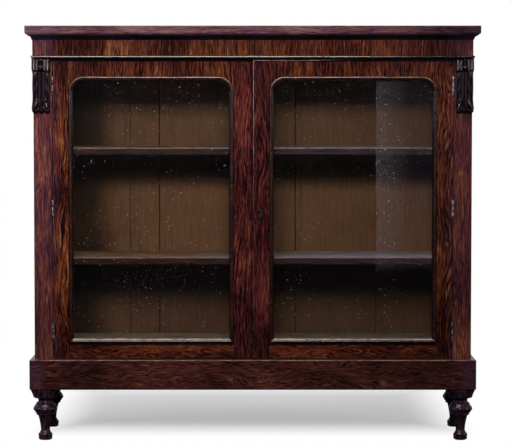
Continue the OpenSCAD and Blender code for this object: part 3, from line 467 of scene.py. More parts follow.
@dataclass(frozen=True)
class StainedPine:
    """Sawn and planed softwood, stained brown with a thin wash and never polished.

    The eye sees straight growth lines a few millimetres apart, a dry surface, and grey dust on what lies
    flat; painted shadow darkens the boards under the shelves.
    """

    name: str
    grain: Grain
    early: str = "#6c4b37"
    late: str = "#5d4130"
    dust: str = "#5f5850"
    shelf_shadow_tint: str = "#0b0606"
    ring_mm: float = 3.0
    bend_mm: float = 200.0
    stain_mm: float = 250.0
    dust_mm: float = 1000.0 / 12.0
    roughness: float = 0.6
    sheen: float = 0.08
    dusty: float = 0.6
    # The boards are darker left of a place along X, and paler between two heights.
    darker_left_of_mm: float = -2000.0
    paler_mm: Point = (0.0, 0.0)
    paler_by: float = 0.36
    # Painted shadow hangs under each of these heights, where the shelves and the top shade the back, and
    # reaches down so far.
    shadowed_under_mm: tuple[Point, ...] = ()
    # The hue at the left end, and half the width over which it turns; on the shelves it takes the painted lilac
    # reflection off the left end.
    left_tint_without_reflection: str = "#ffffff"
    turn_mm: float = 200.0

    def material(self) -> Material:
        """Returns the material; the dust lies where a face looks up."""
        material, add = blank(self.name)
        where = add("TexCoord").outputs["Object"]
        # Growth lines
        drift = add("TexNoise", {"Vector": where, "Scale": per_metre(self.bend_mm), "Detail": 1.0})
        bent = add("VectorMath", {0: drift.outputs[1], "Scale": 0.02}, operation="SCALE")
        moved = add("VectorMath", {0: where, 1: bent}, operation="ADD")
        squeeze = tuple(1.0 if s == 1.0 else 0.04 for s in self.grain.value)
        along = add("Mapping", {"Vector": moved, "Scale": squeeze})
        rings = add("TexNoise", {"Vector": along, "Scale": per_metre(self.ring_mm), "Detail": 4.0})
        tone = add("ValToRGB", {"Fac": rings}, stops=((0.36, self.late), (0.62, self.early)))
        # Patchy stain, and a darkening left of a ragged line along X that is less on the outside
        stain = add(
            "TexNoise", {"Vector": where, "Scale": per_metre(self.stain_mm), "Detail": 5.0, "Roughness": 0.6}
        )
        side = add("SeparateXYZ", {0: where})
        ragged = add("Math", {0: stain, 1: 0.08, 2: side.outputs[0]}, operation="MULTIPLY_ADD")
        edge = self.darker_left_of_mm * MM + 0.04
        lighter_right = add(
            "MapRange", {0: ragged},
            span=(edge - 0.05, edge + 0.035, 0.0, 0.5), interpolation_type="SMOOTHSTEP",
        )
        facing = add("SeparateXYZ", {0: add("TexCoord").outputs["Normal"]})
        outer = add("Math", {0: facing.outputs[1], 1: 0.5}, operation="GREATER_THAN")
        inner = add("Math", {0: 1.0, 1: outer}, operation="SUBTRACT")
        bare = add("Math", {0: outer, 1: 0.5, 2: lighter_right}, operation="MULTIPLY_ADD")
        clean = add("Math", {0: stain, 1: 0.4, 2: bare}, operation="MULTIPLY_ADD")
        shade = add("ValToRGB", {"Fac": clean}, stops=((0.1, "#2a2320"), (0.5, "#c9c0b8"), (0.75, "#ffffff")))
        stained = add("Mix", {0: 1.0, 6: tone, 7: shade}, data_type="RGBA", blend_type="MULTIPLY")
        # Paler bay, and painted shadow under the shelves, both on the inside
        low, high = (level * MM for level in self.paler_mm)
        above = add("Math", {0: side.outputs[2], 1: low}, operation="GREATER_THAN")
        inside = add("Math", {0: side.outputs[2], 1: high}, operation="LESS_THAN")
        between = add("Math", {0: above, 1: inside}, operation="MULTIPLY")
        bay = add("Math", {0: between, 1: inner}, operation="MULTIPLY")
        paler = add("Math", {0: bay, 1: self.paler_by, 2: 1.0}, operation="MULTIPLY_ADD")
        shown = add("VectorMath", {0: stained, "Scale": paler}, operation="SCALE")
        for level, reach in self.shadowed_under_mm:
            low, high = (level - reach) * MM, (level - reach * 0.35) * MM
            under = add(
                "MapRange", {0: side.outputs[2]}, span=(low, high, 0.0, 0.9), interpolation_type="SMOOTHSTEP"
            )
            below = add("Math", {0: side.outputs[2], 1: level * MM}, operation="LESS_THAN")
            there = add("Math", {0: below, 1: inner}, operation="MULTIPLY")
            shelf_shadow = add("Math", {0: under, 1: there}, operation="MULTIPLY")
            shown = add("Mix", {0: shelf_shadow, 6: shown, 7: linear(self.shelf_shadow_tint)}, data_type="RGBA")
        # Dust, and the change of hue from end to end, which on the shelves leaves the painted lilac reflection
        # only toward the right
        patchy = add(
            "TexNoise", {"Vector": where, "Scale": per_metre(self.dust_mm), "Detail": 6.0, "Roughness": 0.65}
        )
        thin, thick = self.dusty * 0.45, self.dusty
        cover = add("MapRange", {0: patchy}, span=(0.3, 0.65, thin, thick))
        lying = add("Math", {0: facing.outputs[2], 1: cover}, operation="MULTIPLY", use_clamp=True)
        colour = add("Mix", {0: lying, 6: shown, 7: linear(self.dust)}, data_type="RGBA")
        turn = self.turn_mm * MM
        left = add("MapRange", {0: side.outputs[0]}, span=(-turn, turn, 1.0, 0.0))
        tinted = add(
            "Mix", {0: left, 6: colour, 7: linear(self.left_tint_without_reflection)}, data_type="RGBA", blend_type="MULTIPLY"
        )
        bump = add("Bump", {"Height": rings, "Strength": 0.15, "Distance": 0.0006})
        dry = {"Roughness": self.roughness, "Specular IOR Level": self.sheen}
        shader = add("BsdfPrincipled", {"Base Color": tinted, "Normal": bump, **dry})
        add("OutputMaterial", {"Surface": shader})
        return material


@dataclass(frozen=True)
class OldGlass:
    """Drawn window glass of the period, thin, and specked with dust and old putty.

    The eye sees clear panes with pale dots of a millimetre or two, and a thin film that starts sharply where
    the right pane was last wiped.
    """

    name: str = "old_window_glass"
    tint: str = "#f1f5f2"
    speck: str = "#b8adb6"
    # Each layer of dots: cell in millimetres, radius and share of empty cells, and how thick a dot lies.
    dots: tuple[tuple[float, ...], ...] = (
        (12.0, 0.12, 0.5, 0.9),
        (7.0, 0.14, 0.66, 0.85),
        (4.2, 0.21, 0.8, 0.5),
    )
    cloud_mm: float = 1000.0 / 6.0
    # Past the wiped part of the pane the dots lie thicker, and above a height there is a film of fine flakes.
    wiped_to_mm: float = 332.5
    wiped_fade_mm: float = 90.0
    dustier: float = 1.4
    film: float = 0.085
    film_mm: float = 4.2
    film_from_mm: float = 450.0
    film_fade_mm: float = 60.0

    def material(self) -> Material:
        """Returns the material; lamps shine through the pane."""
        material, add = blank(self.name)
        drawn = {"Base Color": linear(self.tint), "Roughness": 0.02, "IOR": 1.5, "Transmission Weight": 1.0}
        glass = add("BsdfPrincipled", drawn)
        where = add("TexCoord").outputs["Object"]
        clear = add("BsdfTransparent", {"Color": linear(self.tint)})
        ray = add("LightPath")
        lit = add(
            "Math", {0: ray.outputs["Is Shadow Ray"], 1: ray.outputs["Is Diffuse Ray"]}, operation="MAXIMUM"
        )
        pane = add("MixShader", {0: lit, 1: glass, 2: clear})
        # Dots
        dotted = None
        for cell_mm, radius, share, strength in self.dots:
            spots = add("TexVoronoi", {"Vector": where, "Scale": per_metre(cell_mm)})
            pick = add("SeparateXYZ", {0: spots.outputs["Color"]})
            chosen = add("Math", {0: pick.outputs[0], 1: share}, operation="GREATER_THAN")
            size = add(
                "Math", {0: pick.outputs[1], 1: radius * 0.6, 2: radius * 0.4}, operation="MULTIPLY_ADD"
            )
            inside = add("Math", {0: spots.outputs["Distance"], 1: size}, operation="LESS_THAN")
            both = add("Math", {0: chosen, 1: inside}, operation="MULTIPLY")
            coat = add("Math", {0: both, 1: strength}, operation="MULTIPLY")
            dotted = add("Math", {0: dotted or 0.0, 1: coat}, operation="MAXIMUM")
        cloud = add("TexNoise", {"Vector": where, "Scale": per_metre(self.cloud_mm), "Detail": 2.0})
        thick = add("MapRange", {0: cloud}, span=(0.35, 0.62, 0.25, 0.9))
        # Dust past the wiped part
        side = add("SeparateXYZ", {0: where})
        wiped, faded = self.wiped_to_mm * MM, (self.wiped_to_mm + self.wiped_fade_mm) * MM
        smear = add("MapRange", {0: side.outputs[0]}, span=(wiped, faded, 1.0, 0.0))
        past = add("Math", {0: side.outputs[0], 1: wiped}, operation="GREATER_THAN")
        left_on = add("Math", {0: smear, 1: past}, operation="MULTIPLY")
        dust = add("Math", {0: left_on, 1: self.dustier, 2: thick}, operation="MULTIPLY_ADD")
        specks = add("Math", {0: dotted, 1: dust}, operation="MULTIPLY", use_clamp=True)
        # Film
        flakes = add("TexVoronoi", {"Vector": where, "Scale": per_metre(self.film_mm)})
        flake = add("SeparateXYZ", {0: flakes.outputs["Color"]})
        grain = add("MapRange", {0: flake.outputs[0]}, span=(0.3, 1.0, 0.02, self.film))
        low, high = self.film_from_mm * MM, (self.film_from_mm + self.film_fade_mm) * MM
        above = add("MapRange", {0: side.outputs[2]}, span=(low, high))
        there = add("Math", {0: left_on, 1: above}, operation="MULTIPLY")
        film = add("Math", {0: grain, 1: there}, operation="MULTIPLY")
        cover = add("Math", {0: specks, 1: film}, operation="MAXIMUM")
        dirt = add(
            "BsdfPrincipled", {"Base Color": linear(self.speck), "Roughness": 0.9, "Specular IOR Level": 0.1}
        )
        whole = add("MixShader", {0: cover, 1: pane, 2: dirt})
        add("OutputMaterial", {"Surface": whole})
        return material


@dataclass(frozen=True)
class AgedMetal:
    """Cast and rolled metal that has darkened indoors and is rubbed bright on the high places.

    The eye sees a soft mirror with a brown or grey film over part of it.
    """

    name: str
    bright: str
    film: str
    roughness: float = 0.34
    patch_mm: float = 1000.0 / 130.0

    def material(self) -> Material:
        """Returns the material."""
        material, add = blank(self.name)
        where = add("TexCoord").outputs["Object"]
        patches = add(
            "TexNoise", {"Vector": where, "Scale": per_metre(self.patch_mm), "Detail": 5.0, "Roughness": 0.6}
        )
        colour = add("ValToRGB", {"Fac": patches}, stops=((0.4, self.film), (0.6, self.bright)))
        dull, bright = self.roughness + 0.18, self.roughness
        rough = add("MapRange", {0: patches}, span=(0.35, 0.65, dull, bright))
        shader = add("BsdfPrincipled", {"Base Color": colour, "Roughness": rough, "Metallic": 1.0})
        add("OutputMaterial", {"Surface": shader})
        return material


# Painted shadow darkens the doors' upper edge, which the bead above shades, and the bottom rails just under the
# panes' moulding, which shades them.
DOOR_TOP_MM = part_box("left_hinge_stile")[1][2] / MM - 9.0
PANE_FOOT_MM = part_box("left_sight_moulding")[0][2] / MM - 7.0


class Finish(Enum):
    """Every finish on the cabinet; a rosewood's number moves its figure to another place in the wood."""

    # The top's pale purple is partly sun-faded wood and partly painted reflection, and painted shade darkens it
    # toward the right end, where that reflection fades.
    TOP = Rosewood(
        "rosewood_faded_top_with_painted_reflection", Grain.ACROSS, 3.1, dark="#3b232f", ground="#593a45", warm="#74505a",
        light="#8c666b", streak_mm=8.0, ring_mm=14.0, ink=0.5, dulled_above=0.34,
        painted_shade_along_mm=(200.0, 540.0),
    )
    FRIEZE = Rosewood(
        "rosewood_crossbanded_frieze", Grain.UPRIGHT, 7.3, dark="#1a0706", ground="#33120e", warm="#542919",
        light="#845033", streak_mm=12.0, ink=0.55,
    )
    MOULDING = Rosewood(
        "rosewood_moulding", Grain.ACROSS, 1.9, dark="#0e0508", ground="#1a0b0c", warm="#2a1413",
        light="#40241d", ink=0.3, roughness=0.2,
    )
    # Darker than the other mouldings: painted shade for the hollow that faces down under the top.
    HOLLOW = Rosewood(
        "rosewood_hollow_moulding", Grain.ACROSS, 2.7, dark="#07020a", ground="#0f0510", warm="#160913",
        light="#20101a", ink=0.3, roughness=0.09,
    )
    STILE = Rosewood("rosewood_upright_veneer", Grain.UPRIGHT, 11.7, wander=1.8, painted_shadow_from_mm=DOOR_TOP_MM)
    MEETING_STILE = Rosewood(
        "rosewood_plum_veneer", Grain.UPRIGHT, 14.9, dark="#190609", ground="#341218", warm="#562724",
        light="#86492f", golden=0.25, wander=1.8, painted_shadow_from_mm=DOOR_TOP_MM,
    )
    TOP_RAIL = Rosewood(
        "rosewood_crossbanded_rail", Grain.UPRIGHT, 19.4, warm="#5e2f1e", light="#8a5534", streak_mm=11.0,
        ink=0.6, painted_shadow_from_mm=DOOR_TOP_MM,
    )
    BOTTOM_RAIL = Rosewood(
        "rosewood_wild_figure_rail", Grain.ACROSS, 23.9, ground="#3b1611", warm="#63301e", light="#8c5538",
        streak_mm=6.5, ring_mm=13.0, wander=4.6, ink=0.6, lines=0.6, painted_shadow_from_mm=PANE_FOOT_MM,
    )
    END = Rosewood(
        "rosewood_end_veneer", Grain.UPRIGHT, 31.2, dark="#2a1010", ground="#4a2118", light="#94603f",
        wander=1.6, ink=0.6,
    )
    PLINTH = Rosewood(
        "rosewood_plinth_veneer", Grain.ACROSS, 43.5, dark="#200d0e", ground="#391a18", warm="#522b27",
        light="#774a3c", streak_mm=5.5, ring_mm=11.0, wander=3.0, ink=0.5, painted_reflection=0.06, painted_reflection_from_mm=552.0,
    )
    PLINTH_END = Rosewood(
        "rosewood_plinth_end_veneer", Grain.DEEP, 47.5, dark="#200d0b", ground="#391a13", warm="#54301f",
        light="#7a5034", streak_mm=7.0, wander=2.0, painted_reflection=0.05,
    )
    SIGHT = Rosewood(
        "rosewood_sight_moulding", Grain.ACROSS, 53.5, dark="#120706", ground="#1f0c0a", warm="#2f1611",
        light="#44251a", ink=0.3, roughness=0.26,
    )
    # The edge finishes below are worn wood with a painted highlight where the edge looks up.
    WORN_HIGHLIT = WornEdgeHighlight()
    SHELF_ARRIS_HIGHLIT = WornEdgeHighlight("pine_shelf_edge_painted_highlight", bare="#a2949b", kept="#2a1c1c")
    RUBBED_HIGHLIT = WornEdgeHighlight("rosewood_rubbed_edge_painted_highlight", bare="#bd9a91", kept="#1f0e0c")
    TOP_EDGE_HIGHLIT = WornEdgeHighlight("rosewood_top_edge_painted_highlight", bare="#e2cdd0", least_up=-0.6)
    CREST_HIGHLIT = WornEdgeHighlight("rosewood_crest_painted_highlight", bare="#a58f90", least_up=-0.6)
    CARVED = CarvedRosewood("rosewood_carved_and_waxed")
    # Lighter than the carved finish: painted light for the feet, which the key's beam leaves dim as it falls
    # off downward.
    TURNED = CarvedRosewood("rosewood_turned_and_waxed", crest="#453040", hollow="#1c1119", roughness=0.08)
    BOARDS = StainedPine(
        "pine_back_boards", Grain.UPRIGHT, darker_left_of_mm=-415.0, paler_mm=(494.0, 774.0),
        shadowed_under_mm=((1080.0, 190.0), (774.0, 120.0), (476.0, 190.0)),
    )
    # The shelves' lilac, and the lilac of their dust, is painted reflection of bluish light; the left end is
    # tinted back to brown.
    SHELF = StainedPine(
        "pine_shelves_stained_dark_painted_lilac_reflection", Grain.ACROSS, early="#4a2e3a", late="#1c0f18", dust="#d8cad8",
        roughness=0.5, left_tint_without_reflection="#dab684",
    )
    DUSTY = StainedPine(
        "pine_bottom_board_dusty", Grain.ACROSS, early="#3a271c", late="#22150f", dust="#b7a99f", dusty=0.9
    )
    GAP = StainedPine(
        "pine_joints_full_of_dirt", Grain.UPRIGHT, early="#0d0807", late="#080504", dust="#0d0807"
    )
    RAIL = StainedPine("pine_rails", Grain.ACROSS, early="#4d3626", late="#352217")
    GLASS = OldGlass()
    BRASS = AgedMetal("brass_aged", "#94733f", "#3d2c1a")
    DULL_BRASS = AgedMetal("brass_blackened_with_polish", "#b8acb2", "#2a2024", 0.36)
    KEYHOLE = AgedMetal("brass_blackened_round_the_key", "#3b322c", "#100b09", 0.3)
    IRON = AgedMetal("wrought_iron_dark", "#5b5754", "#2c2522", 0.45)


Finishes = dict[Finish, Material]


# Solids that keep their shape


@dataclass(frozen=True)
class Joinery:
    """The boards, rails and metal that keep their shape: each gets its finish, the boards a worn arris with a
    painted highlight.
    """

    finishes: Finishes
    weld_mm: float = 0.01
    flat_within: float = 1.0
    sharp_over: float = 40.0

    def soften(self, node: Piece, width_mm: float) -> None:
        """Rounds a board's edges and gives the rounding the second finish: on wood the worn edge with its
        painted highlight.

        Args:
            node: The board.
            width_mm: Width of the rounding.
        """
        weld = node.modifiers.new("weld", "WELD")
        weld.merge_threshold = self.weld_mm * MM
        plane = node.modifiers.new("plane", "DECIMATE")
        plane.decimate_type = "DISSOLVE"
        plane.angle_limit = math.radians(self.flat_within)
        round_over = node.modifiers.new("arris", "BEVEL")
        round_over.width = width_mm * MM
        round_over.segments = 2
        round_over.limit_method = "ANGLE"
        round_over.angle_limit = math.radians(self.sharp_over)
        round_over.use_clamp_overlap = True
        round_over.material = 1

    def coats(self) -> list[tuple[Finish, float, tuple[str, ...]]]:
        """Returns each finish, the width of the rounding in millimetres, and the solids that get them."""
        rails = ("head_rail", "bottom_front_rail", "plinth_back", "plinth_top_rail")
        coats = [
            (Finish.TOP, 1.2, ("top_board",)),
            (Finish.HOLLOW, 0.0, ("top_moulding_front", "top_moulding_returns")),
            (Finish.FRIEZE, 0.0, ("frieze_front",)),
            (Finish.MOULDING, 0.0, ("frieze_bead", "meeting_bead")),
            (Finish.END, 0.8, ("left_end_panel", "right_end_panel", "left_pilaster", "right_pilaster")),
            (Finish.CARVED, 0.0, ("left_corbel", "right_corbel")),
            (Finish.TURNED, 0.0, tuple(f"{place}_foot" for place in FEET)),
            (Finish.RAIL, 0.0, (*rails, "door_stop_strip", "inner_top_panel", "foot_blocks")),
            (Finish.RAIL, 0.6, ("shelf_bearers",)),
            (Finish.DUSTY, 0.8, ("bottom_board",)),
            (Finish.SHELF, 2.0, ("upper_shelf",)),
            (Finish.SHELF, 1.6, ("lower_shelf",)),
            (Finish.BOARDS, 0.0, ("back_boards",)),
            (Finish.PLINTH, 1.6, ("plinth_front",)),
            (Finish.PLINTH_END, 1.6, ("plinth_left", "plinth_right")),
            (Finish.DULL_BRASS, 0.2, ("frame_hinge_leaves",)),
            (Finish.DULL_BRASS, 0.0, ("hinge_pins",)),
            (Finish.BRASS, 0.0, ("frame_hinge_screws", "bolt_keepers", "top_bolt", "bottom_bolt")),
            (Finish.BRASS, 0.2, ("left_edge_plates",)),
            (Finish.BRASS, 0.3, ("lock_bolt",)),
            (Finish.KEYHOLE, 0.3, ("escutcheon",)),
            (Finish.IRON, 0.0, ("back_nails", "lock_case")),
        ]
        for finish, arris, part in (
            (Finish.STILE, 0.8, "hinge_stile"),
            (Finish.MEETING_STILE, 0.8, "meeting_stile"),
            (Finish.TOP_RAIL, 0.0, "top_rail"),
            (Finish.BOTTOM_RAIL, 0.0, "bottom_rail"),
            (Finish.SIGHT, 0.0, "sight_moulding"),
            (Finish.GLASS, 0.0, "glass"),
            (Finish.MOULDING, 0.5, "glazing_beads"),
            (Finish.DULL_BRASS, 0.2, "hinge_leaves"),
            (Finish.BRASS, 0.0, "hinge_screws"),
        ):
            coats.append((finish, arris, tuple(f"{side}_{part}" for side in SIDES)))
        return coats

    def dress(self) -> None:
        """Gives every solid its finish, and the wooden ones with rounded edges a worn arris with a painted
        highlight.
        """
        for finish, arris, names in self.coats():
            for name in names:
                node = NODES[name]
                node.data.materials.clear()
                node.data.materials.append(self.finishes[finish])
                if arris > 0.0:
                    edge = Finish.SHELF_ARRIS_HIGHLIT if finish is Finish.SHELF else Finish.WORN_HIGHLIT
                    if isinstance(finish.value, AgedMetal):
                        edge = finish
                    node.data.materials.append(self.finishes[edge])
                    self.soften(node, arris)
                log.info("%s: %s", name, self.finishes[finish].name)


# Carving


@dataclass(frozen=True)
class CarvedCorbel:
    """A corbel carved as an acanthus leaf that hangs from a rolled head with a bud in its middle."""

    node: str
    mirrored: bool
    material: Material
    columns: int = 84
    rows: int = 190
    head_from: float = 0.745
    head_slant: float = 0.26
    tip_mm: float = 5.0

    def half_width(self, t: float) -> float:
        """Share of the half width at a height.

        Args:
            t: Height, 0 at the foot and 1 at the head.

        Returns:
            The share, at most 1.
        """
        waist = 0.93 + 0.03 * math.sin(math.pi * t * 5.0) * (1.0 - t)
        flare = 0.04 * math.exp(-((t - 0.06) / 0.09) ** 2)
        head = smoothstep(self.head_from - 0.02, self.head_from + 0.05, t) * 0.07
        return min(1.0, waist + flare + head)

    def lobes(self, x: float, sharp: float) -> float:
        """Returns a ridge for every whole number, 1 on its crest and 0 in the valley beside it."""
        return abs(math.cos(math.pi * x)) ** sharp

    def depth(self, u: float, t: float) -> float:
        """How far the carving stands out.

        Args:
            u: Place across, -1 to 1.
            t: Height, 0 at the foot and 1 at the head.

        Returns:
            The share of the full projection, 0 to 1.
        """
        edge = 1.0 - 0.3 * abs(u) ** 5
        fan = 1.0 + 0.8 * math.exp(-((t / 0.2) ** 1.6))
        strand = self.lobes(2.5 * u / fan, 0.7)
        wave = 0.5 + 0.5 * math.sin(2.0 * math.pi * (t * 4.0 + abs(u) * 0.9))
        body = 0.5 - 0.06 * t + 0.12 * strand + 0.04 * wave * smoothstep(0.25, 0.6, abs(u))
        splay = 1.3 - 0.5 * smoothstep(0.0, 0.24, t)
        tips = self.lobes(1.5 * u / splay, 1.5)
        ramp = max(0.0, 0.25 - t) / 0.25
        flare = (0.06 + 0.22 * smoothstep(0.1, 0.5, abs(u))) * ramp * (0.1 + 0.9 * tips)
        leaf = (body + flare) * (0.6 + 0.4 * smoothstep(0.0, 0.04, t))
        s = (t - self.head_from) / (1.0 - self.head_from)
        petal = self.lobes(2.5 * u, 1.0)
        hang = 0.04 + 0.12 * (1.0 - petal)
        under = math.sqrt(max(0.0, 1.0 - max(0.0, (hang + 0.1 - s) / 0.1) ** 2)) if s < hang + 0.1 else 1.0
        slant = 0.97 - self.head_slant * max(0.0, s - 0.1)
        bud = math.exp(-((u / 0.12) ** 2) - (((s - 0.42) / 0.15) ** 2))
        ring = math.exp(-(((math.hypot(u / 0.26, (s - 0.42) / 0.32) - 1.0) / 0.24) ** 2))
        petals = slant - 0.13 * (1.0 - petal)
        head = body + (petals + 0.03 * bud - 0.1 * ring - body) * under
        mix = smoothstep(self.head_from - 0.006, self.head_from + 0.006, t)
        return min(0.995, max(0.12, (leaf * (1.0 - mix) + head * mix) * edge))

    def build(self, body: str) -> Piece:
        """Carves the corbel.

        Args:
            body: The body that it moves with.

        Returns:
            The piece, which stands for its node.
        """
        low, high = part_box(self.node)
        centre = (low[0] + high[0]) / 2
        half = (high[0] - low[0]) / 2
        side = -1.0 if self.mirrored else 1.0
        reach = high[1] - low[1]
        rings = []
        for i in range(self.rows + 1):
            t = i / self.rows
            front, back = [], []
            for j in range(self.columns + 1):
                u = -1.0 + 2.0 * j / self.columns
                notch = self.tip_mm * MM * (1.0 - self.lobes(1.5 * u, 0.7)) * (1.0 - smoothstep(0.0, 0.2, t))
                x = centre + side * u * half * self.half_width(t)
                z = low[2] + (high[2] - low[2]) * t + notch
                front.append(Vector((x, high[1] - reach * self.depth(u, t), z)))
                back.append(Vector((x, high[1], z)))
            rings.append(front + back[::-1])
        mesh = rings_to_mesh(rings, Ends.OPEN)
        count = len(rings[0])
        for row in (mesh.verts[:count], mesh.verts[-count:]):
            for i in range(self.columns):
                mesh.faces.new((row[i], row[i + 1], row[count - 2 - i], row[count - 1 - i]))
        piece = new_piece(self.node + "_acanthus", mesh, body, self.material)
        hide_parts(self.node)
        return piece


# Turning


@dataclass(frozen=True)
class TurnedFoot:
    """A turned foot: bulb, reeded tapering shaft, ring, knop, neck and a collar with fine turned lines."""

    node: str
    material: Material
    steps: int = 120
    reeds: int = 12
    reed_mm: float = 2.2
    flats: int = 8
    flat_mm: float = 0.7
    height_mm: float = 142.0
    sharp_over: float = 26.0

    def outline(self) -> list[Point]:
        """Returns the half outline as radius and height in millimetres, from the floor up."""
        ball = [(14.5, 0.0), (16.8, 1.5), (18.6, 3.4), (19.2, 5.4), (18.8, 7.2), (17.6, 8.2)]
        ball += [(18.3, 9.2), (19.1, 11.4), (19.4, 13.8), (18.9, 16.3), (17.3, 18.5), (15.4, 20.0)]
        ankle = [(14.6, 21.4), (14.7, 22.6), (13.6, 24.2), (12.6, 25.6)]
        shaft = [(12.3 + 7.1 * (i / 14) ** 1.6, 27.0 + 41.0 * (i / 14)) for i in range(15)]
        ring = [(20.0, 68.2), (22.8, 68.8), (24.4, 70.4), (24.8, 72.2), (24.0, 73.8), (20.6, 74.6)]
        ring += [(26.0, 75.4), (27.8, 76.6), (28.0, 78.0), (26.8, 79.2), (23.8, 79.8)]
        knop = [(29.6, 80.6), (31.4, 82.6), (32.3, 85.4), (32.1, 88.0), (31.0, 90.6), (29.4, 93.4)]
        knop += [(27.4, 96.2), (25.7, 98.6), (24.7, 100.4), (22.8, 101.0), (24.4, 102.0), (24.0, 103.8)]
        neck = [(20.2, 104.6), (19.2, 106.4), (18.9, 109.6), (19.5, 112.6), (20.5, 114.6), (21.4, 115.6)]
        collar = [(29.2, 116.4), (30.8, 117.4)]
        for z, r in ((118.4, 32.0), (122.4, 33.2), (126.4, 34.4), (130.4, 36.4)):
            collar += [(r, z), (r + 0.9, z + 1.2), (r + 1.0, z + 2.4), (r + 0.1, z + 3.2)]
        collar += [(38.4, 134.6), (39.0, 136.2), (39.0, 141.9), (37.5, self.height_mm)]
        return ball + ankle + shaft + ring + knop + neck + collar

    def radius(self, r: float, z: float, angle: float) -> float:
        """Adds the reeds of the shaft and the shallow flats of the bulb.

        Args:
            r: Radius of the outline in millimetres.
            z: Height in millimetres.
            angle: Angle round the foot in radians.

        Returns:
            The radius there in millimetres.
        """
        reeded = smoothstep(28.0, 33.0, z) * (1.0 - smoothstep(62.0, 67.0, z))
        bulb = smoothstep(2.0, 6.0, z) * (1.0 - smoothstep(17.0, 21.0, z))
        valley = 1.0 - abs(math.cos(angle * self.reeds / 2.0)) ** 0.7
        flat = 0.5 - 0.5 * math.cos(angle * self.flats)
        return r - self.reed_mm * reeded * valley - self.flat_mm * bulb * flat

    def build(self, body: str) -> Piece:
        """Turns the foot.

        Args:
            body: The body that it moves with.

        Returns:
            The piece, which stands for its node.
        """
        low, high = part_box(self.node)
        x, y = (low[0] + high[0]) / 2, (low[1] + high[1]) / 2
        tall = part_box("plinth_front")[0][2] / self.height_mm
        rings = []
        for r, z in self.outline():
            ring = []
            for k in range(self.steps):
                angle = 2.0 * math.pi * k / self.steps
                reach = self.radius(r, z, angle) * MM
                ring.append(Vector((x + reach * math.cos(angle), y + reach * math.sin(angle), z * tall)))
            rings.append(ring)
        mesh = rings_to_mesh(rings, Ends.OPEN)
        for z, ring in ((0.0, mesh.verts[: self.steps]), (self.height_mm * tall, mesh.verts[-self.steps :])):
            middle = mesh.verts.new((x, y, z))
            for i in range(self.steps):
                mesh.faces.new((middle, ring[i], ring[(i + 1) % self.steps]))
        piece = new_piece(self.node + "_turned", mesh, body, self.material)
        piece.data.set_sharp_from_angle(angle=math.radians(self.sharp_over))
        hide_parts(self.node)
        return piece


# Mouldings


@dataclass(frozen=True)
class SightMoulding:
    """The moulding round a pane: a bead that rises from a quirk and rounds over down to the glass, with a
    painted highlight on its crown and on the round.
    """

    side: str
    material: Material
    # The edge finish, worn and with a painted highlight, for the rings listed below.
    worn: Material
    arch_mm: float = 42.0
    mitre_mm: float = 1.5
    heel_mm: float = 2.4
    quirk_mm: Point = (1.1, 4.4)
    crown_mm: float = 3.5
    round_mm: Point = (8.8, 7.6)
    width_mm: float = 12.95
    arc_steps: int = 20
    # Rings of the profile whose faces get the painted highlight: the crown and the round that looks up.
    highlit_rings: tuple[tuple[int, int], ...] = ((6, 9), (14, 21))

    def profile(self, depth_mm: float) -> list[Point]:
        """The moulding's section.

        Args:
            depth_mm: Depth from the door's face to the glass.

        Returns:
            Points as inset from the opening's edge and depth behind the crown, in millimetres.
        """
        quirk, deep = self.quirk_mm
        across, down = self.round_mm
        points: list[Point] = [(0.15, depth_mm), (0.15, 4.6), (0.9, 5.0)]
        for i in range(8):
            a = math.radians(90.0 * i / 7)
            points.append((quirk + (self.crown_mm - quirk) * (1.0 - math.cos(a)), deep * (1.0 - math.sin(a))))
        for i in range(1, 10):
            a = math.radians(90.0 * i / 9)
            points.append((self.crown_mm + across * math.sin(a), down * (1.0 - math.cos(a))))
        points += [(12.6, 8.6), (self.width_mm, 9.4), (self.width_mm, depth_mm)]
        return points

    def ring(self, opening: tuple[float, float, float, float], inset: float, y: float) -> list[Vector]:
        """The opening's outline, drawn in.

        Args:
            opening: Its left, right, lower and upper edges in metres.
            inset: How far it is drawn in, in metres.
            y: Depth in metres.

        Returns:
            The points, the same count for every inset.
        """
        x0, x1, z0, z1 = opening
        arch = self.arch_mm * MM
        r = arch - inset
        near = inset + self.mitre_mm * MM
        rise = min(1.0, inset / (self.crown_mm * MM))
        fall = max(0.0, 1.0 - inset / (self.width_mm * MM))
        sill = inset + self.heel_mm * MM * rise * fall
        over = sill + self.mitre_mm * MM
        points = [Vector((x0 + i, y, z0 + k)) for i, k in ((inset, over), (inset, sill), (near, sill))]
        points += [Vector((x1 - i, y, z0 + k)) for i, k in ((near, sill), (inset, sill), (inset, over))]
        for centre, start in ((x1 - arch, 0.0), (x0 + arch, 90.0)):
            for i in range(self.arc_steps + 1):
                a = math.radians(start + 90.0 * i / self.arc_steps)
                points.append(Vector((centre + r * math.cos(a), y, z1 - arch + r * math.sin(a))))
        return points

    def build(self) -> Piece:
        """Runs the moulding round the opening; the piece stands for its node."""
        node = self.side + "_sight_moulding"
        low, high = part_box(node)
        opening = (low[0], high[0], low[2], high[2])
        depth_mm = (high[1] - low[1]) / MM
        rings = [self.ring(opening, i * MM, low[1] + d * MM) for i, d in self.profile(depth_mm)]
        mesh = rings_to_mesh(rings, Ends.JOINED)
        per_ring = len(rings[0])
        for first, last in self.highlit_rings:
            for face in mesh.faces[first * per_ring : last * per_ring]:
                face.material_index = 1
        name = f"{self.side}_moulded_sight_edge"
        piece = new_piece(name, mesh, f"{self.side}_door", self.material, self.worn)
        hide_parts(node)
        return piece


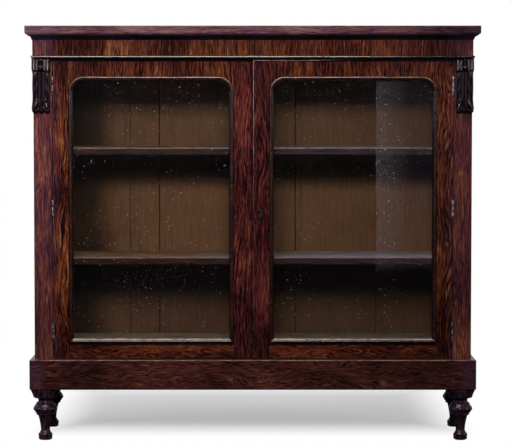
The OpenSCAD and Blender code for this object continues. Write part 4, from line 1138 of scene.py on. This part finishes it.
@dataclass(frozen=True)
class HighlitTopEdge:
    """The right door's rounded upper edge, pale as a painted highlight over the half that stands out under the
    bead.
    """

    material: Material
    reach_share: float = 0.585
    radius_mm: float = 4.6
    proud_mm: float = 1.2
    start_mm: float = 0.6
    below_mm: float = 0.4
    steps: int = 24

    def build(self) -> Piece:
        """Draws the rounding along the top edge, thinning out towards the hinges."""
        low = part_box("right_meeting_stile")[0]
        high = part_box("right_hinge_stile")[1]
        end = low[0] + (high[0] - low[0]) * self.reach_share
        top = high[2] - self.below_mm * MM
        rings = []
        for i in range(self.steps + 1):
            t = i / self.steps
            radius = self.radius_mm * MM * (1.0 - 0.75 * smoothstep(0.35, 1.0, t))
            x = low[0] + self.start_mm * MM + (end - low[0]) * t
            face = low[1] - self.proud_mm * MM * (1.0 - smoothstep(0.6, 1.0, t))
            ring = [Vector((x, face + radius * 1.4, top))]
            for k in range(7):
                a = math.radians(90.0 * k / 6)
                fall = radius * (1.0 - math.cos(a))
                ring.append(Vector((x, face + radius * (1.0 - math.sin(a)), top - fall)))
            ring.append(Vector((x, face + radius * 1.4, top - radius)))
            rings.append(ring)
        mesh = rings_to_mesh(rings)
        return new_piece("right_door_top_edge_painted_highlight", mesh, "right_door", self.material)


@dataclass(frozen=True)
class MeetingBead:
    """The bead over the joint between the doors: it rises from the left to a crest and falls into a quirk."""

    material: Material
    # The second finish paints a highlight on the crest face picked below, widest at the top.
    bare: Material
    rubbed: int = 4
    steps: int = 40

    def build(self) -> Piece:
        """Draws the bead up the right door, with a painted highlight on its crest that is widest at the top."""
        low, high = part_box("meeting_bead")
        deep = high[1] - low[1] - 0.1 * MM
        rings = []
        for i in range(self.steps + 1):
            t = i / self.steps
            crest = 0.1 + 0.75 * smoothstep(0.35, 1.0, t)
            section: list[Point] = [(0.1, 0.0), (0.1, 0.5), (0.7, 0.8), (1.8, 0.93), (5.0 - crest, 0.99)]
            section += [(5.0, 1.0), (5.5, 0.9), (5.8, 0.12), (9.6, 0.12), (9.9, 0.55), (11.2, 0.5)]
            section += [(11.9, 0.2), (11.9, 0.0)]
            z = low[2] + (high[2] - low[2]) * t
            rings.append([Vector((low[0] + x * MM, high[1] - share * deep, z)) for x, share in section])
        mesh = rings_to_mesh(rings)
        count = len(rings[0])
        for i in range(self.steps):
            mesh.faces[i * count + self.rubbed].material_index = 1
        piece = new_piece("meeting_bead_with_painted_crest_highlight", mesh, "right_door", self.material, self.bare)
        piece.data.shade_flat()
        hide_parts("meeting_bead")
        return piece


@dataclass(frozen=True)
class BoardedBack:
    """The back: upright boards with open, dirt-filled joints between them and a scribed line beside one."""

    material: Material
    gap: Material
    widths_mm: tuple[float, ...] = (1.5, 3.2, 1.5, 2.9, 1.5)
    scribed: int = 3
    scribed_mm: Point = (16.0, 1.2)
    depth_mm: float = 4.0
    behind_mm: Point = (1.6, 1.5)
    nails_proud_mm: float = 0.3

    def joints(self) -> list[float]:
        """Returns where the boards meet, in metres along X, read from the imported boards."""
        low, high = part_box("back_boards")
        corners = NODES["back_boards"].data.vertices
        foot = low[2] + 0.5 * MM
        joints: list[float] = []
        for x in sorted({round(v.co.x, 4) for v in corners if v.co.z < foot}):
            inside = low[0] + 10.0 * MM < x < high[0] - 10.0 * MM
            if inside and (not joints or x - joints[-1] > 4.0 * MM):
                joints.append(x)
        return joints

    def build(self, body: str) -> Piece:
        """Draws the boards' section up the back.

        Args:
            body: The body that it moves with.

        Returns:
            The piece, which stands for its node.
        """
        low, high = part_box("back_boards")
        deep = self.depth_mm * MM
        cuts = list(zip(self.joints(), self.widths_mm))
        offset, width = self.scribed_mm
        cuts.insert(self.scribed + 1, (cuts[self.scribed][0] + offset * MM, width))
        section: list[Point] = [(low[0], low[1])]
        for x, wide in cuts:
            half = wide * MM / 2
            section += [(x - half, low[1]), (x - half * 0.8, low[1] + deep), (x + half * 0.8, low[1] + deep)]
            section.append((x + half, low[1]))
        back = high[1] - self.nails_proud_mm * MM
        half, shallow = self.behind_mm[0] * MM / 2, self.behind_mm[1] * MM
        section += [(high[0], low[1]), (high[0], back)]
        for x in reversed(self.joints()):
            section += [(x + half, back), (x + half * 0.5, back - shallow), (x - half * 0.5, back - shallow)]
            section.append((x - half, back))
        section.append((low[0], back))
        rings = [[Vector((x, y, z)) for x, y in section] for z in (low[2], high[2])]
        mesh = rings_to_mesh(rings)
        behind = 1 + 4 * len(cuts) + 2
        starts = [1 + 4 * k for k in range(len(cuts))] + [behind + 4 * k for k in range(len(self.joints()))]
        for start in starts:
            for face in mesh.faces[start : start + 3]:
                face.material_index = 1
        piece = new_piece("boarded_back", mesh, body, self.material, self.gap)
        piece.data.shade_flat()
        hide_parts("back_boards")
        return piece


# Light, floor and camera


@dataclass(frozen=True)
class Softbox:
    """A flat lamp that looks at a point."""

    name: str
    place: Place
    aim: Place
    size: Point
    watts: float
    colour: str = "#ffffff"
    spread: float = 180.0

    def hang(self) -> None:
        """Hangs the lamp, which the camera doesn't see."""
        data = bpy.data.lights.new(self.name, "AREA")
        data.shape = "RECTANGLE"
        data.size, data.size_y = self.size
        data.energy = self.watts
        data.spread = math.radians(self.spread)
        data.color = linear(self.colour)[:3]
        lamp = new_object(self.name, data)
        lamp.location = self.place
        lamp.rotation_euler = (Vector(self.aim) - Vector(self.place)).to_track_quat("-Z", "Y").to_euler()
        lamp.visible_camera = False


@dataclass(frozen=True)
class Studio:
    """A pale floor and backdrop, soft lamps from the front and above, and the camera."""

    floor_half: float = 30.0
    # The shadow's patch: axis, middle, and the distances from it where white starts and is full.
    patch: tuple[tuple[int, float, float, float], ...] = ((0, 0.0, 0.44, 0.64), (1, 0.5, 0.24, 0.62))
    camera_place: Place = (0.0086, -6.0775, 0.908)
    tilt_down: float = 3.09
    lens: float = 154.9

    def world(self) -> None:
        """Makes the surroundings: white to the camera, and dim and even as light."""
        world = bpy.data.worlds.new("studio")
        bpy.context.scene.world = world
        world.use_nodes = True
        world.node_tree.nodes.clear()
        add = partial(put, world.node_tree)
        seen = add("LightPath")
        towards = add("SeparateXYZ", {0: add("TexCoord").outputs["Generated"]})
        behind = add("MapRange", {0: towards.outputs[1]}, span=(-0.5, 0.5, 0.03, 0.4))
        overhead = add("MapRange", {0: towards.outputs[2]}, span=(0.2, 0.9, 0.0, 0.3))
        even = add("Math", {0: behind, 1: overhead}, operation="MAXIMUM")
        fill = add("Background", {"Color": linear("#f4f4f8"), "Strength": even})
        white = add("Background", {"Color": linear("#ffffff"), "Strength": 1.0})
        mix = add("MixShader", {0: seen.outputs["Is Camera Ray"], 1: fill, 2: white})
        add("OutputWorld", {"Surface": mix})

    def floor(self) -> None:
        """Lays the floor, which keeps the shadow in a patch round the cabinet and is white past it."""
        material, add = blank("paper_floor")
        paper = add("BsdfDiffuse", {"Color": linear("#f6f6f6")})
        lift = add("Emission", {"Color": linear("#ffffff"), "Strength": 0.3})
        white = add("Emission", {"Color": linear("#ffffff"), "Strength": 1.0})
        near = add("AddShader", {0: paper, 1: lift})
        where = add("TexCoord").outputs["Object"]
        apart = add("SeparateXYZ", {0: where})
        fade = None
        for axis, centre, start, end in self.patch:
            off = add("Math", {0: apart.outputs[axis], 1: centre}, operation="SUBTRACT")
            away = add("Math", {0: off}, operation="ABSOLUTE")
            past = add("MapRange", {0: away}, span=(start, end), interpolation_type="SMOOTHSTEP")
            fade = add("Math", {0: fade or 0.0, 1: past}, operation="MAXIMUM")
        shown = add("MixShader", {0: fade, 1: near, 2: white})
        seen = add("LightPath")
        direct = add("Math", {0: seen.outputs["Glossy Depth"], 1: 0.5}, operation="LESS_THAN")
        through = add("Math", {0: seen.outputs["Is Transmission Ray"], 1: direct}, operation="MULTIPLY")
        either = add("Math", {0: seen.outputs["Is Camera Ray"], 1: through}, operation="MAXIMUM")
        ground = add("BsdfDiffuse", {"Color": linear("#383838")})
        whole = add("MixShader", {0: either, 1: ground, 2: shown})
        add("OutputMaterial", {"Surface": whole})
        mesh = bmesh.new()
        h = self.floor_half
        mesh.faces.new([mesh.verts.new(p) for p in ((-h, -h, 0.0), (h, -h, 0.0), (h, h, 0.0), (-h, h, 0.0))])
        data = bpy.data.meshes.new("floor")
        mesh.to_mesh(data)
        mesh.free()
        data.materials.append(material)
        floor = new_object("floor", data)

    def lamps(self) -> None:
        """Hangs the lamps: a key, one above, one at each side, and two panels that the veneer reflects."""
        middle, tall = (0.0, 0.0, 0.6), (0.8, 1.8)
        for lamp in (
            Softbox("key", (-0.3, -3.8, 1.97), (-0.34, 0.0, 1.06), (1.5, 0.6), 9.0, "#fff4e8", spread=43.0),
            Softbox("above", (-0.6, -1.3, 3.4), (-0.1, 0.0, 0.0), (2.4, 1.8), 44.0),
            Softbox("left", (-3.4, -1.4, 1.6), middle, tall, 12.0, "#e8e6fa"),
            Softbox("right", (3.4, -1.4, 1.6), middle, tall, 12.0, "#ece2e4"),
            Softbox("left_panel", (-1.7, -6.2, 1.0), middle, (1.2, 2.4), 3.0, "#8f93ff"),
            Softbox("right_panel", (1.41, -6.2, 1.0), middle, (1.5, 2.4), 1.0, "#d6b4d8"),
        ):
            lamp.hang()

    def camera(self) -> None:
        """Sets up the camera where the photograph was taken from."""
        data = bpy.data.cameras.new("camera")
        data.sensor_width = 36.0
        data.sensor_fit = "HORIZONTAL"
        data.lens = self.lens
        data.clip_end = 100.0
        camera = new_object("camera", data)
        camera.location = self.camera_place
        camera.rotation_euler = (math.radians(90.0 - self.tilt_down), 0.0, 0.0)
        bpy.context.scene.camera = camera

    def build(self) -> None:
        """Sets up the whole studio."""
        bpy.context.scene.view_settings.view_transform = "Standard"
        self.world()
        self.floor()
        self.lamps()
        self.camera()


def main() -> None:
    """Builds and dresses the cabinet, in order, and reports each piece."""
    logging.basicConfig(level=logging.INFO, format="%(message)s", stream=sys.stdout)
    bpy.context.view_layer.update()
    finishes: Finishes = {finish: finish.value.material() for finish in Finish}
    Joinery(finishes).dress()
    for side in SIDES:
        CarvedCorbel(f"{side}_corbel", side == "left", finishes[Finish.CARVED]).build("carcass")
        SightMoulding(side, finishes[Finish.SIGHT], finishes[Finish.RUBBED_HIGHLIT]).build()
    for place in FEET:
        TurnedFoot(f"{place}_foot", finishes[Finish.TURNED]).build("carcass")
    BoardedBack(finishes[Finish.BOARDS], finishes[Finish.GAP]).build("carcass")
    HighlitTopEdge(finishes[Finish.TOP_EDGE_HIGHLIT]).build()
    MeetingBead(finishes[Finish.MEETING_STILE], finishes[Finish.CREST_HIGHLIT]).build()
    Studio().build()


if __name__ == "__main__":
    main()
